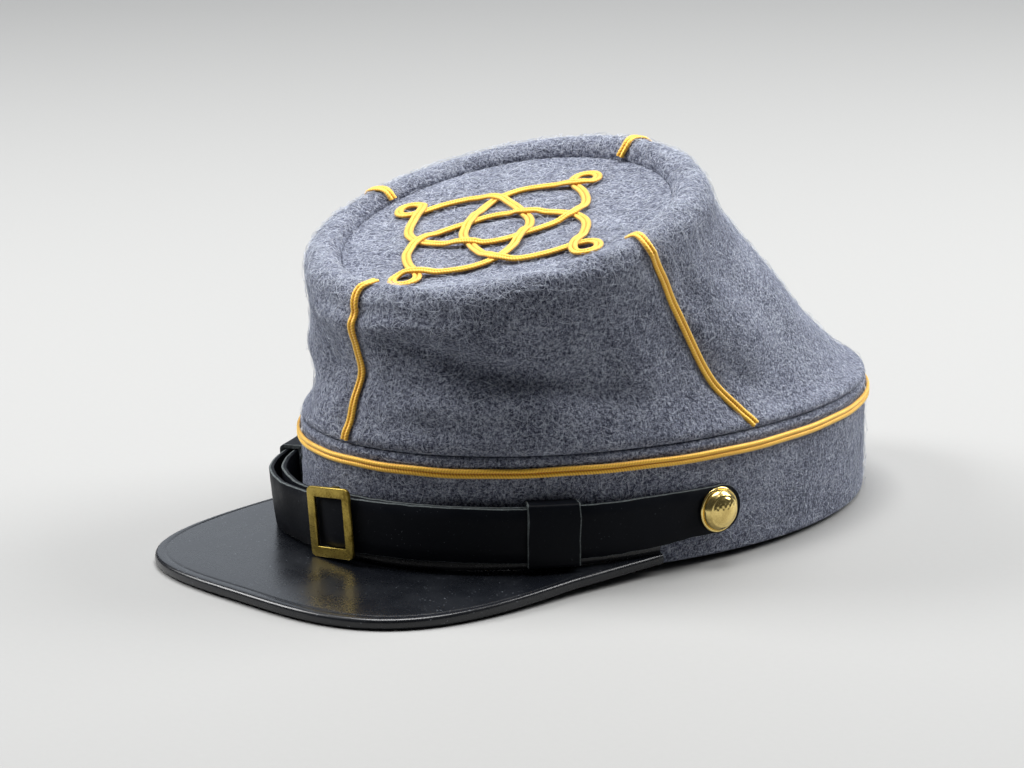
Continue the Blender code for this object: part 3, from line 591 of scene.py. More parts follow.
def walled(outer, inner, around=False):
    """Points and faces of a closed wall between two grids of points that face each other."""
    rows, columns = outer.shape[:2]
    size = rows * columns
    faces = quads(rows, columns, 0, around) + quads(rows, columns, size, around)
    for i in range(rows if around else rows - 1):
        k = (i + 1) % rows
        for j in (0, columns - 1):
            faces.append((i * columns + j, k * columns + j, size + k * columns + j,
                          size + i * columns + j))
    if not around:
        for i in (0, rows - 1):
            for j in range(columns - 1):
                faces.append((i * columns + j, i * columns + j + 1, size + i * columns + j + 1,
                              size + i * columns + j))
    return np.concatenate((outer.reshape(-1, 3), inner.reshape(-1, 3))), faces


def spaced(points, step, closed=False):
    """Rows spaced evenly along a line of points; each row holds a point and more values."""
    if closed:
        points = np.concatenate((points, points[:1]))
    spans = np.linalg.norm(np.diff(points[:, :3], axis=0), axis=1)
    lengths = np.concatenate(((0,), np.cumsum(spans)))
    count = max(2, round(lengths[-1] / step))
    at = np.linspace(0, lengths[-1], count + (0 if closed else 1), endpoint=not closed)
    return np.stack([np.interp(at, lengths, points[:, k]) for k in range(points.shape[1])], -1)


def cord_piece(name, points, normals, replaced, closed=False):
    """Flat double cord of wrapped threads, laid along points with its back to the cloth. It keeps a
    share of painted shade and highlight for each point.
    """
    sizes = bpy.context.scene.kepi_sizes
    half = sizes.braid_width / 4
    path = spaced(np.concatenate((points, normals), axis=1), sizes.braid_pitch / 4, closed)
    middle, out = path[:, :3], unit(path[:, 3:])
    if closed:
        ahead = np.roll(middle, -1, axis=0) - np.roll(middle, 1, axis=0)
    else:
        ahead = np.gradient(middle, axis=0)
    side = unit(np.cross(out, ahead))
    run = np.arange(len(middle)) * sizes.braid_pitch / 4
    rows = []
    depth = []
    for lobe, angles in CORD_SECTION:
        for angle in angles:
            a = radians(angle)
            thread = np.sin(2 * pi * (run / sizes.braid_pitch + lobe * a / 2.6))
            swell = 1 + 0.10 * thread
            across = lobe * half + half * np.cos(a) * swell
            up = sizes.braid_height * (0.42 + 0.58 * np.sin(a) * swell)
            rows.append(middle + side * across[:, None] + out * np.maximum(up, 0.0)[:, None])
            # Lit share of the braid's colour: painted highlight on the thread crests, painted shade
            # between the threads and down each lobe's sides to the cloth.
            depth.append(0.5 + 0.5 * thread * max(0.0, sin(a)) - 0.5 * (1 - max(0.0, sin(a))))
    grid = np.stack(rows, axis=1)
    shade = np.stack(depth, axis=1)
    faces = quads(len(middle), len(rows), 0, closed, True)
    if not closed:
        last = (len(middle) - 1) * len(rows)
        faces.append(tuple(range(len(rows))))
        faces.append(tuple(range(last, last + len(rows))))
    made = piece(name, grid, faces, [braid_material()], replaced, sharp=0)
    # The thread values paint the braid's shade and highlight into its colour.
    store(made.data, "thread", np.clip(shade, 0, 1).ravel())


def fibres(name, surface, turns, ways, seed):
    """Stray wool fibres that lie on a surface, each a thin tapered tube.

    surface gives points and directions at turns and ways; turns and ways are the starts."""
    sizes = bpy.context.scene.kepi_sizes
    chance = np.random.default_rng(seed)
    count = len(turns)
    heading = chance.uniform(0, 2 * pi, count)
    curl = chance.normal(0, 0.55, count)
    length = sizes.fibre_length * chance.uniform(0.45, 1.35, count)
    stand = chance.uniform(0.05, 1.0, count) ** 2 * FIBRE_STAND
    step = 1e-3
    here, _ = surface(turns, ways)
    per_turn = np.linalg.norm(surface(turns + step, ways)[0] - here, axis=-1) / step
    per_way = np.linalg.norm(surface(turns, ways + step)[0] - here, axis=-1) / step
    knots = FIBRE_KNOTS
    rings = []
    for k in range(knots):
        share = k / (knots - 1)
        place, out = surface(turns, ways)
        arch = stand * sin(pi * min(1.0, 0.15 + share * 0.8)) + 0.02 * MM
        rings.append((place + out * arch[:, None], out, 1 - 0.75 * abs(2 * share - 0.8)))
        turns = turns + np.cos(heading) * length / (knots - 1) / np.maximum(per_turn, 1e-4)
        ways = ways + np.sin(heading) * length / (knots - 1) / np.maximum(per_way, 1e-4)
        heading = heading + curl
    points = []
    for k, (centre, out, taper) in enumerate(rings):
        ahead = rings[min(k + 1, knots - 1)][0] - rings[max(k - 1, 0)][0]
        side = unit(np.cross(ahead, out))
        up = unit(np.cross(side, ahead))
        radius = sizes.fibre_radius * max(taper, 0.25)
        for corner in range(3):
            a = 2 * pi * corner / 3
            points.append(centre + (side * cos(a) + up * sin(a)) * radius)
    grid = np.stack(points, axis=1)
    faces = []
    for i in range(count):
        base = i * 3 * knots
        for k in range(knots - 1):
            for corner in range(3):
                a = base + 3 * k + corner
                b = base + 3 * k + (corner + 1) % 3
                faces.append((a, b, b + 3, a + 3))
    mesh = bpy.data.meshes.new(name)
    mesh.from_pydata(grid.reshape(-1, 3).tolist(), [], faces)
    mesh.shade_smooth()
    mesh.materials.append(fibre_material())
    store(mesh, "tone", np.repeat(chance.uniform(0, 1, count), 3 * knots))
    placed(name, mesh)


# Materials

def number(tree, kind, first, second=None, third=None):
    """Math node on sockets or numbers."""
    made = tree.nodes.new("ShaderNodeMath")
    made.operation = kind
    for socket, value in zip(made.inputs, (first, second, third)):
        connect(tree, value, socket)
    return made.outputs[0]


def connect(tree, value, socket):
    """Link a socket, or set a plain value."""
    if value is None:
        return
    if isinstance(value, bpy.types.NodeSocket):
        tree.links.new(value, socket)
    else:
        socket.default_value = value


def noise(tree, vector, scale, detail=3.0, rough=0.55):
    """Noise node, whose output varies about one half."""
    made = tree.nodes.new("ShaderNodeTexNoise")
    connect(tree, vector, made.inputs["Vector"])
    connect(tree, scale, made.inputs["Scale"])
    made.inputs["Detail"].default_value = detail
    made.inputs["Roughness"].default_value = rough
    return made.outputs["Fac"]


def weighted(tree, *parts):
    """Sum of values, each with its weight."""
    total = None
    for value, weight in parts:
        part = number(tree, "MULTIPLY", value, weight)
        total = part if total is None else number(tree, "ADD", total, part)
    return total


def swing(tree, value, amount, base):
    """Base plus a noise's difference from one half, times an amount."""
    return number(tree, "MULTIPLY_ADD", number(tree, "SUBTRACT", value, 0.5), amount, base)


def own_place(tree):
    """Place in the object's own coordinates."""
    return tree.nodes.new("ShaderNodeTexCoord").outputs["Object"]


def point_value(tree, name):
    """Value that the mesh keeps for each of its points."""
    made = tree.nodes.new("ShaderNodeAttribute")
    made.attribute_name = name
    return made.outputs["Fac"]


def stretched(tree, vector, turn, scale):
    """Coordinates turned and then stretched."""
    made = tree.nodes.new("ShaderNodeMapping")
    connect(tree, vector, made.inputs["Vector"])
    made.inputs["Rotation"].default_value = turn
    made.inputs["Scale"].default_value = scale
    return made.outputs[0]


def between(tree, value, low, high, to_low=0.0, to_high=1.0):
    """Value spread from one range to another, and held inside it."""
    made = tree.nodes.new("ShaderNodeMapRange")
    made.interpolation_type = "SMOOTHSTEP"
    for key, part in (("Value", value), ("From Min", low), ("From Max", high),
                      ("To Min", to_low), ("To Max", to_high)):
        connect(tree, part, made.inputs[key])
    return made.outputs[0]


def blend_colours(tree, share, first, second):
    """Mix of two colours."""
    made = tree.nodes.new("ShaderNodeMix")
    made.data_type = "RGBA"
    connect(tree, share, made.inputs[0])
    connect(tree, first, made.inputs[6])
    connect(tree, second, made.inputs[7])
    return made.outputs[2]


def group_tree(name, inputs, outputs):
    """Shader node group with named sockets, and its two end nodes."""
    tree = bpy.data.node_groups.new(name, "ShaderNodeTree")
    for label, kind, default in inputs:
        socket = tree.interface.new_socket(name=label, in_out="INPUT", socket_type=kind)
        socket.default_value = default
    for label, kind in outputs:
        tree.interface.new_socket(name=label, in_out="OUTPUT", socket_type=kind)
    return tree, tree.nodes.new("NodeGroupInput"), tree.nodes.new("NodeGroupOutput")


def wool_group():
    """Heathered wool: crossing fibres of dark, middle and pale tones, with a height."""
    if "Heathered wool" in bpy.data.node_groups:
        return bpy.data.node_groups["Heathered wool"]
    colour, value = "NodeSocketColor", "NodeSocketFloat"
    tree, given, result = group_tree(
        "Heathered wool",
        (("Dark", colour, (0.05, 0.06, 0.1, 1)), ("Middle", colour, (0.17, 0.2, 0.27, 1)),
         ("Pale", colour, (0.42, 0.47, 0.56, 1)), ("Pale Share", value, 0.3)),
        (("Color", colour), ("Height", value)))
    where = own_place(tree)
    sway = tree.nodes.new("ShaderNodeTexNoise")
    connect(tree, where, sway.inputs["Vector"])
    sway.inputs["Scale"].default_value = 170
    sway.inputs["Detail"].default_value = 2
    shift = tree.nodes.new("ShaderNodeVectorMath")
    shift.operation = "MULTIPLY_ADD"
    connect(tree, sway.outputs["Color"], shift.inputs[0])
    shift.inputs[1].default_value = (0.004, 0.004, 0.004)
    connect(tree, where, shift.inputs[2])
    ways = (((0.3, 0.5, 0.2), (250, 1900, 1900)), ((0.9, -0.6, 1.3), (2000, 230, 2000)),
            ((-0.5, 0.8, 2.3), (1800, 1800, 220)), ((1.3, 0.2, -0.9), (320, 2500, 2500)))
    layers = [noise(tree, stretched(tree, shift.outputs[0], turn, scale), 1.0, 2.0, 0.6)
              for turn, scale in ways]
    total = layers[0]
    top = layers[0]
    for layer in layers[1:]:
        total = number(tree, "ADD", total, layer)
        top = number(tree, "MAXIMUM", top, layer)
    mean = number(tree, "MULTIPLY", total, 1 / len(layers))
    patch = noise(tree, where, 60, 4.0, 0.65)
    clump = noise(tree, where, 1050, 3.0, 0.8)
    tone = swing(tree, patch, 0.25, swing(tree, clump, 0.9, mean))
    body = blend_colours(tree, between(tree, tone, 0.33, 0.57), given.outputs["Dark"],
                         given.outputs["Middle"])
    hair = between(tree, top, 0.63, 0.72)
    hair = number(tree, "MULTIPLY", hair, given.outputs["Pale Share"])
    fleck = number(tree, "MULTIPLY", between(tree, tone, 0.52, 0.68), 0.6)
    cloth = blend_colours(tree, number(tree, "MAXIMUM", hair, fleck), body, given.outputs["Pale"])
    connect(tree, cloth, result.inputs["Color"])
    connect(tree, weighted(tree, (top, 0.35), (clump, 0.9)), result.inputs["Height"])
    return tree


def leather_group():
    """Leather: fine pebbled grain, soft creases, dust and light scratches."""
    if "Leather face" in bpy.data.node_groups:
        return bpy.data.node_groups["Leather face"]
    colour, value = "NodeSocketColor", "NodeSocketFloat"
    tree, given, result = group_tree(
        "Leather face",
        (("Face", colour, (0.01, 0.01, 0.013, 1)), ("Dust", colour, (0.25, 0.26, 0.28, 1)),
         ("Dust Share", value, 0.5), ("Haze", value, 0.01), ("Smooth", value, 0.25),
         ("Rough", value, 0.45)),
        (("Color", colour), ("Roughness", value), ("Height", value)))
    where = own_place(tree)
    pebble = tree.nodes.new("ShaderNodeTexVoronoi")
    pebble.feature = "SMOOTH_F1"
    connect(tree, where, pebble.inputs["Vector"])
    pebble.inputs["Scale"].default_value = 1700
    grain = pebble.outputs["Distance"]
    cloud = noise(tree, where, 55, 4.0, 0.6)
    fine = noise(tree, where, 900, 3.0, 0.6)
    scratch = noise(tree, stretched(tree, where, (0.2, 0.4, 0.9), (60, 2600, 2600)), 1.0, 2.0, 0.5)
    speck = between(tree, noise(tree, where, 1500, 1.0, 0.4), 0.735, 0.76)
    speck = number(tree, "MULTIPLY", speck, between(tree, cloud, 0.42, 0.62))
    mark = number(tree, "MULTIPLY", between(tree, scratch, 0.70, 0.80), 0.10)
    haze = number(tree, "MULTIPLY", between(tree, cloud, 0.35, 0.75), given.outputs["Haze"])
    dust = number(tree, "MAXIMUM", number(tree, "MULTIPLY", speck, given.outputs["Dust Share"]), mark)
    dust = number(tree, "ADD", dust, haze)
    connect(tree, blend_colours(tree, dust, given.outputs["Face"], given.outputs["Dust"]),
            result.inputs["Color"])
    uneven = weighted(tree, (cloud, 0.6), (fine, 0.4))
    connect(tree, between(tree, uneven, 0.3, 0.7, given.outputs["Smooth"], given.outputs["Rough"]),
            result.inputs["Roughness"])
    connect(tree, weighted(tree, (grain, 0.5), (fine, 0.35), (cloud, 0.4)), result.inputs["Height"])
    return tree


def brass_group():
    """Brass: darkened patches and fine brushed lines."""
    if "Worn brass" in bpy.data.node_groups:
        return bpy.data.node_groups["Worn brass"]
    colour, value = "NodeSocketColor", "NodeSocketFloat"
    tree, given, result = group_tree(
        "Worn brass",
        (("Metal", colour, (0.8, 0.6, 0.2, 1)), ("Tarnish", colour, (0.16, 0.1, 0.03, 1)),
         ("Wear", value, 0.5), ("Smooth", value, 0.15), ("Rough", value, 0.4)),
        (("Color", colour), ("Roughness", value), ("Height", value)))
    where = own_place(tree)
    cloud = noise(tree, where, 170, 5.0, 0.65)
    spots = noise(tree, where, 1300, 3.0, 0.6)
    brushed = noise(tree, stretched(tree, where, (0.1, 0.3, 1.1), (200, 4200, 4200)), 1.0, 2.0, 0.6)
    dull = between(tree, weighted(tree, (cloud, 0.7), (spots, 0.3)), 0.46, 0.64)
    dull = number(tree, "MULTIPLY", dull, given.outputs["Wear"])
    connect(tree, blend_colours(tree, dull, given.outputs["Metal"], given.outputs["Tarnish"]),
            result.inputs["Color"])
    uneven = weighted(tree, (brushed, 0.5), (cloud, 0.5))
    connect(tree, between(tree, uneven, 0.35, 0.65, given.outputs["Smooth"], given.outputs["Rough"]),
            result.inputs["Roughness"])
    connect(tree, weighted(tree, (brushed, 0.3), (cloud, 1.0)), result.inputs["Height"])
    return tree


def new_material(name, view_colour, **constants):
    """Material with a Principled shader and its constant values."""
    made = bpy.data.materials.new(name)
    made.use_nodes = True
    made.diffuse_color = (*view_colour, 1)
    shader = made.node_tree.nodes["Principled BSDF"]
    for key, value in constants.items():
        shader.inputs[key.replace("_", " ")].default_value = value
    return made, made.node_tree, shader


def bumped(tree, shader, height, distance, strength):
    """Bump from a height in metres to the shader's normal."""
    made = tree.nodes.new("ShaderNodeBump")
    made.inputs["Strength"].default_value = strength
    made.inputs["Distance"].default_value = distance
    connect(tree, height, made.inputs["Height"])
    connect(tree, made.outputs["Normal"], shader.inputs["Normal"])


def place_group(tree, group, **values):
    """Group node with its own values."""
    made = tree.nodes.new("ShaderNodeGroup")
    made.node_tree = group
    for key, value in values.items():
        connect(tree, value, made.inputs[key.replace("_", " ")])
    return made


def wool_material():
    """Napped heathered wool."""
    if "heathered_wool" in bpy.data.materials:
        return bpy.data.materials["heathered_wool"]
    tint = bpy.context.scene.kepi_colours
    made, tree, shader = new_material("heathered_wool", tint.wool_middle, Roughness=0.95,
                                      Sheen_Weight=0.22, Sheen_Roughness=0.4, Specular_IOR_Level=0.1)
    shader.inputs["Sheen Tint"].default_value = (0.75, 0.82, 1.0, 1)
    wool = place_group(tree, wool_group(), Dark=(*tint.wool_dark, 1), Middle=(*tint.wool_middle, 1),
                       Pale=(*tint.wool_pale, 1), Pale_Share=0.65)
    connect(tree, wool.outputs["Color"], shader.inputs["Base Color"])
    bumped(tree, shader, wool.outputs["Height"], 0.9 * MM, 1.0)
    return made


def fibre_material():
    """Stray fibres, from grey to nearly white."""
    if "stray_fibre" in bpy.data.materials:
        return bpy.data.materials["stray_fibre"]
    tint = bpy.context.scene.kepi_colours
    made, tree, shader = new_material("stray_fibre", tint.wool_pale, Roughness=0.6,
                                      Specular_IOR_Level=0.3)
    share = between(tree, point_value(tree, "tone"), -0.3, 0.7)
    connect(tree, blend_colours(tree, share, (*tint.wool_middle, 1), (*tint.wool_pale, 1)),
            shader.inputs["Base Color"])
    return made


def braid_material():
    """Golden wrapped threads, with painted shade between them and down the cord's sides and painted
    highlight on their crests.
    """
    if "wrapped_braid" in bpy.data.materials:
        return bpy.data.materials["wrapped_braid"]
    tint = bpy.context.scene.kepi_colours
    made, tree, shader = new_material("wrapped_braid", tint.braid_gold, Roughness=0.42, Metallic=0.25,
                                      Sheen_Weight=0.8, Specular_IOR_Level=0.5)
    shader.inputs["Sheen Tint"].default_value = (1.0, 0.85, 0.5, 1)
    where = own_place(tree)
    fuzz = noise(tree, where, 3800, 3.0, 0.7)
    soil = noise(tree, where, 120, 3.0, 0.6)
    # Painted shade and highlight: the stored thread share, swayed at random by soil and fuzz, mixes the
    # painted shade colour to gold.
    share = swing(tree, soil, 0.5, swing(tree, fuzz, 0.8, point_value(tree, "thread")))
    connect(tree, blend_colours(tree, between(tree, share, -0.15, 0.65), (*tint.braid_painted_shade, 1),
                                (*tint.braid_gold, 1)), shader.inputs["Base Color"])
    bumped(tree, shader, fuzz, 0.15 * MM, 0.6)
    return made


def leather_material(name, smooth, rough, dust_share, shine):
    """Black leather with its own gloss and dust."""
    if name in bpy.data.materials:
        return bpy.data.materials[name]
    tint = bpy.context.scene.kepi_colours
    made, tree, shader = new_material(name, tint.leather, Specular_IOR_Level=shine)
    face = place_group(tree, leather_group(), Face=(*tint.leather, 1), Dust=(0.22, 0.24, 0.27, 1),
                       Dust_Share=dust_share, Haze=0.028 * dust_share, Smooth=smooth, Rough=rough)
    connect(tree, face.outputs["Color"], shader.inputs["Base Color"])
    connect(tree, face.outputs["Roughness"], shader.inputs["Roughness"])
    bumped(tree, shader, face.outputs["Height"], 0.08 * MM, 0.5)
    return made


def edge_material():
    """Cut edge of the leather, rough and greyish."""
    if "leather_edge" in bpy.data.materials:
        return bpy.data.materials["leather_edge"]
    tint = bpy.context.scene.kepi_colours
    made, tree, shader = new_material("leather_edge", tint.leather_edge, Specular_IOR_Level=0.3)
    face = place_group(tree, leather_group(), Face=(*tint.leather_edge, 1),
                       Dust=(0.16, 0.18, 0.21, 1), Dust_Share=0.8, Smooth=0.6, Rough=0.85)
    where = own_place(tree)
    nap = noise(tree, where, 1100, 4.0, 0.7)
    pale = tuple(2.0 * c for c in tint.leather_edge)
    connect(tree, blend_colours(tree, between(tree, nap, 0.42, 0.66), face.outputs["Color"], (*pale, 1)),
            shader.inputs["Base Color"])
    connect(tree, face.outputs["Roughness"], shader.inputs["Roughness"])
    bumped(tree, shader, nap, 0.25 * MM, 0.8)
    return made


def brass_material(name, metal, tarnish, wear, smooth, rough):
    """Brass with its own polish and wear."""
    if name in bpy.data.materials:
        return bpy.data.materials[name]
    made, tree, shader = new_material(name, metal, Metallic=1.0)
    worn = place_group(tree, brass_group(), Metal=(*metal, 1), Tarnish=(*tarnish, 1), Wear=wear,
                       Smooth=smooth, Rough=rough)
    connect(tree, worn.outputs["Color"], shader.inputs["Base Color"])
    connect(tree, worn.outputs["Roughness"], shader.inputs["Roughness"])
    bumped(tree, shader, worn.outputs["Height"], 0.06 * MM, 0.35)
    return made


# The chin strap's course

def course(turn):
    """The strap's table values at turns, one array for each column."""
    places = [row[0] for row in COURSE]
    columns = np.array([row[1:] for row in COURSE]).T
    return [curve_through(places, column, np.degrees(turn)) for column in columns]


def strap_edge(turn, share_up, out):
    """Point on the strap's course: share_up 0 is its bottom edge and 1 its top edge."""
    turn, share_up, out = np.broadcast_arrays(np.asarray(turn, float), share_up, out)
    lean, sag, narrowing = course(turn)[4:]
    width = STRAP_WIDTH + (STRAP_END_WIDTH - STRAP_WIDTH) * narrowing
    bottom_out = lean * STRAP_LEAN
    height = np.sqrt(width ** 2 - bottom_out ** 2)
    middle = BUTTON_HEIGHT - sag * STRAP_SAG
    return oval(turn, out + bottom_out * np.maximum(0.0, 1 - share_up),
                middle + height * (share_up - 0.5))


def inner_face(turn):
    """Distance from the band to the inner strap's inner face."""
    keeper_share, bulge = course(turn)[:2]
    return CLEARANCE + keeper_share * (KEEPER_WALL + CLEARANCE) + bulge * STRAP_BULGE


def outer_face(turn):
    """Distance from the band to the outer strap's inner face."""
    layers, bar_room = course(turn)[2:4]
    return inner_face(turn) + layers * (STRAP_THICKNESS + CLEARANCE) + bar_room * BAR_THICKNESS


def strap_section():
    """Corners round the strap's section: share of its width, share of its thickness, and
    whether the next side is a cut edge."""
    soft = 0.014
    outer = [(soft, 1.0, 0), (0.25, 1.02, 0), (0.5, 1.03, 0), (0.75, 1.02, 0), (1 - soft, 1.0, 1),
             (1 - 0.3 * soft, 0.88, 1), (1.0, 0.6, 0), (1.0, 0.25, 0)]
    inner = [(1 - 0.4 * soft, 0.0, 0), (0.5, 0.0, 0), (0.4 * soft, 0.0, 1), (0.0, 0.25, 1),
             (0.0, 0.6, 1), (0.3 * soft, 0.88, 1)]
    return outer + inner


def make_strap(name, face, button_turn, far_turn, replaced, seed):
    """Strap leather from its rounded end at a button to its square end in a keeper."""
    way = 1 if far_turn > button_turn else -1
    half = STRAP_END_WIDTH / 2
    stations = []
    for angle in np.arange(86, 0, -6):
        back = half * sin(radians(angle)) + STRAP_END_REACH
        stations.append((button_turn - way * back / metres_per_turn(button_turn), cos(radians(angle))))
    steps = round(abs(far_turn - button_turn) * metres_per_turn(KEEPER_TURN) / STRAP_CELL)
    stations += [(button_turn + (far_turn - button_turn) * k / steps, 1.0) for k in range(steps + 1)]
    turn = np.array([s[0] for s in stations])
    fullness = np.array([s[1] for s in stations])
    chance = np.random.default_rng(seed)
    ragged = chance.normal(0, STRAP_RAGGED, (2, len(turn)))
    ragged = (ragged + np.roll(ragged, 1, axis=1)) / 2
    section = strap_section()
    rings = []
    near = face(turn)
    for share, depth, _ in section:
        edge = np.where(share > 0.9, ragged[0], np.where(share < 0.1, ragged[1], 0.0))
        up = 0.5 + (share - 0.5) * fullness + edge
        waver = 0.10 * MM * np.sin(turn * 23 + share * 3) + 0.06 * MM * np.sin(turn * 61 + 5 * share)
        rings.append(strap_edge(turn, up, near + STRAP_THICKNESS * depth + waver))
    grid = np.stack(rings, axis=1)
    count = len(section)
    faces = quads(len(turn), count, 0, False, True)
    slots = [section[k % count][2] for k in range(len(faces))]
    last = (len(turn) - 1) * count
    faces += [tuple(range(count)), tuple(range(last, last + count))]
    slots += [1, 1]
    return piece(name, grid, faces, [strap_leather(), edge_material()], replaced,
                 sharp=60, face_slots=slots)


def strap_leather():
    """Leather of the strap and keepers."""
    return leather_material("strap_hide", 0.36, 0.52, 0.20, 0.07)


def make_keeper(name, turn, replaced, seed):
    """Leather sleeve round both straps, with soft corners and cut ends."""
    half = KEEPER_LENGTH / 2 / metres_per_turn(turn)
    at = turn + half * np.concatenate(((-1.0, -0.955), np.linspace(-0.88, 0.88, 13), (0.955, 1.0)))
    near = inner_face(at) - CLEARANCE
    far = outer_face(at) + STRAP_THICKNESS + CLEARANCE
    margin = CLEARANCE / STRAP_WIDTH
    shoulder = (CLEARANCE + KEEPER_WALL) / STRAP_WIDTH
    corner = [(1 + margin + (shoulder - margin) * sin(radians(angle)), cos(radians(angle)))
              for angle in (0, 30, 60, 90)]
    path = [(1 - up, share) for up, share in reversed(corner)]
    path += [(up, 1.0) for up in (0.2, 0.4, 0.6, 0.8)] + corner
    outside = []
    inside = []
    for up, share in path:
        bulge = KEEPER_BULGE * sin(pi * min(max(up, 0), 1))
        outside.append((up, far + KEEPER_WALL * share + bulge))
        inside.append((min(max(up, -margin), 1 + margin), far))
    for up, _ in reversed(path):
        outside.append((up, near - KEEPER_WALL * 0.9))
        inside.append((min(max(up, -margin), 1 + margin), near))
    outer = np.stack([strap_edge(at, up, out) for up, out in outside], axis=0)
    inner = np.stack([strap_edge(at, up, out) for up, out in inside], axis=0)
    chance = np.random.default_rng(seed)
    ragged = chance.normal(0, KEEPER_RAGGED / metres_per_turn(turn), len(outside))
    for k, (up, out) in enumerate(outside):
        for j in (0, 1, len(at) - 2, len(at) - 1):
            outer[k, j] = strap_edge(at[j] + ragged[k] * 0.5, up, out[j])
    points, faces = walled(outer, inner, around=True)
    rows, columns = outer.shape[:2]
    body = 2 * rows * (columns - 1)
    slots = [int(k < body // 2 and k % (columns - 1) in (0, columns - 2)) for k in range(body)]
    slots += [1] * (len(faces) - body)
    return piece(name, points, faces, [strap_leather(), edge_material()], replaced,
                 sharp=60, face_slots=slots)


def button_frame(turn):
    """Frame on the strap's outer face at a button, with Z outwards."""
    z = Vector(oval_normal(np.array(turn)))
    y = Vector((0, 0, 1))
    x = y.cross(z)
    centre = Vector(oval(turn, CLEARANCE + STRAP_THICKNESS, BUTTON_HEIGHT))
    return Matrix.Translation(centre) @ Matrix((x, y, z)).transposed().to_4x4()


def make_button(name, turn, replaced):
    """Domed button with a rolled rim, a plain ring and a low woven field."""
    seat = CLEARANCE
    dome = BUTTON_RADIUS - BUTTON_RIM
    crown = BUTTON_DOME - BUTTON_RIM
    lip = BUTTON_RADIUS - BUTTON_LIP
    profile = [(0.0, -STRAP_THICKNESS), (SHANK_RADIUS, -STRAP_THICKNESS), (SHANK_RADIUS, seat),
               (lip, seat)]
    for angle in range(-60, 150, 20):
        a = radians(angle)
        profile.append((lip + BUTTON_LIP * cos(a), seat + BUTTON_LIP + BUTTON_LIP * sin(a)))
    for angle in np.arange(6, 90, 2.5):
        a = radians(angle)
        radius = dome * cos(a)
        height = seat + 0.75 * BUTTON_RIM + crown * sin(a)
        height += 0.16 * MM * bell(radius - 0.80 * dome, 0.28 * MM)
        height -= 0.10 * MM * bell(radius - 0.70 * dome, 0.25 * MM)
        profile.append((radius, height))
    profile = np.array(profile)
    turns = 2 * pi * np.arange(BUTTON_STEPS)[:, None] / BUTTON_STEPS
    grid = stack(profile[:, 0] * np.cos(turns), profile[:, 0] * np.sin(turns), profile[:, 1])
    inside = grid[..., 2] > seat + BUTTON_RIM
    radius = np.hypot(grid[..., 0], grid[..., 1])
    field = inside * np.clip((0.66 * dome - radius) / (0.3 * MM), 0, 1)
    woven = np.sin(grid[..., 0] / BUTTON_WEAVE) * np.sin(grid[..., 1] / BUTTON_WEAVE)
    grid[..., 2] += BUTTON_WEAVE_HEIGHT * woven * field
    faces = quads(BUTTON_STEPS, len(profile), 0, True)
    last = len(profile) - 1
    faces.append(tuple(i * len(profile) + last for i in range(BUTTON_STEPS)))
    tint = bpy.context.scene.kepi_colours
    bright = brass_material("polished_brass", tint.brass_bright, (0.34, 0.21, 0.05), 0.40, 0.15, 0.27)
    made = piece(name, grid, faces, [bright], replaced, sharp=60)
    weld(made.data, 0.001 * MM)
    made.data.transform(button_frame(turn))


def weld(mesh, distance):
    """Join points that lie within a distance of each other."""
    reshape(mesh, lambda edit: bmesh.ops.remove_doubles(edit, verts=edit.verts, dist=distance))


# The peak

def peak_height(points):
    """Height of the peak's upper face over the plane of the band's bottom rim."""
    forward = -points[..., 1] - HEAD_LENGTH / 2
    across = points[..., 0] / (PEAK_WIDTH / 2)
    return PEAK_RISE - np.tan(PEAK_SLOPE) * forward - PEAK_DROOP * across * across


def peak_outline(share):
    """Points on one half of the peak's edge, from its end at the band to the centre front."""
    end = oval(PEAK_END_TURN, PEAK_END_WIDTH)
    shoulder = np.array((PEAK_WIDTH / 2, -HEAD_LENGTH / 2 + PEAK_SHOULDER, 0))
    straight = end + (shoulder - end) * np.minimum(share / PEAK_STRAIGHT, 1)[:, None]
    angle = pi / 2 * np.clip((share - PEAK_STRAIGHT) / (1 - PEAK_STRAIGHT), 0, 1)
    power = 2 / PEAK_SQUARENESS
    length = PEAK_SHOULDER + PEAK_REACH
    curve = stack(PEAK_WIDTH / 2 * np.maximum(np.cos(angle), 0) ** power,
                  shoulder[1] - length * np.sin(angle) ** power, 0.0 * angle)
    return np.where((share < PEAK_STRAIGHT)[:, None], straight, curve)


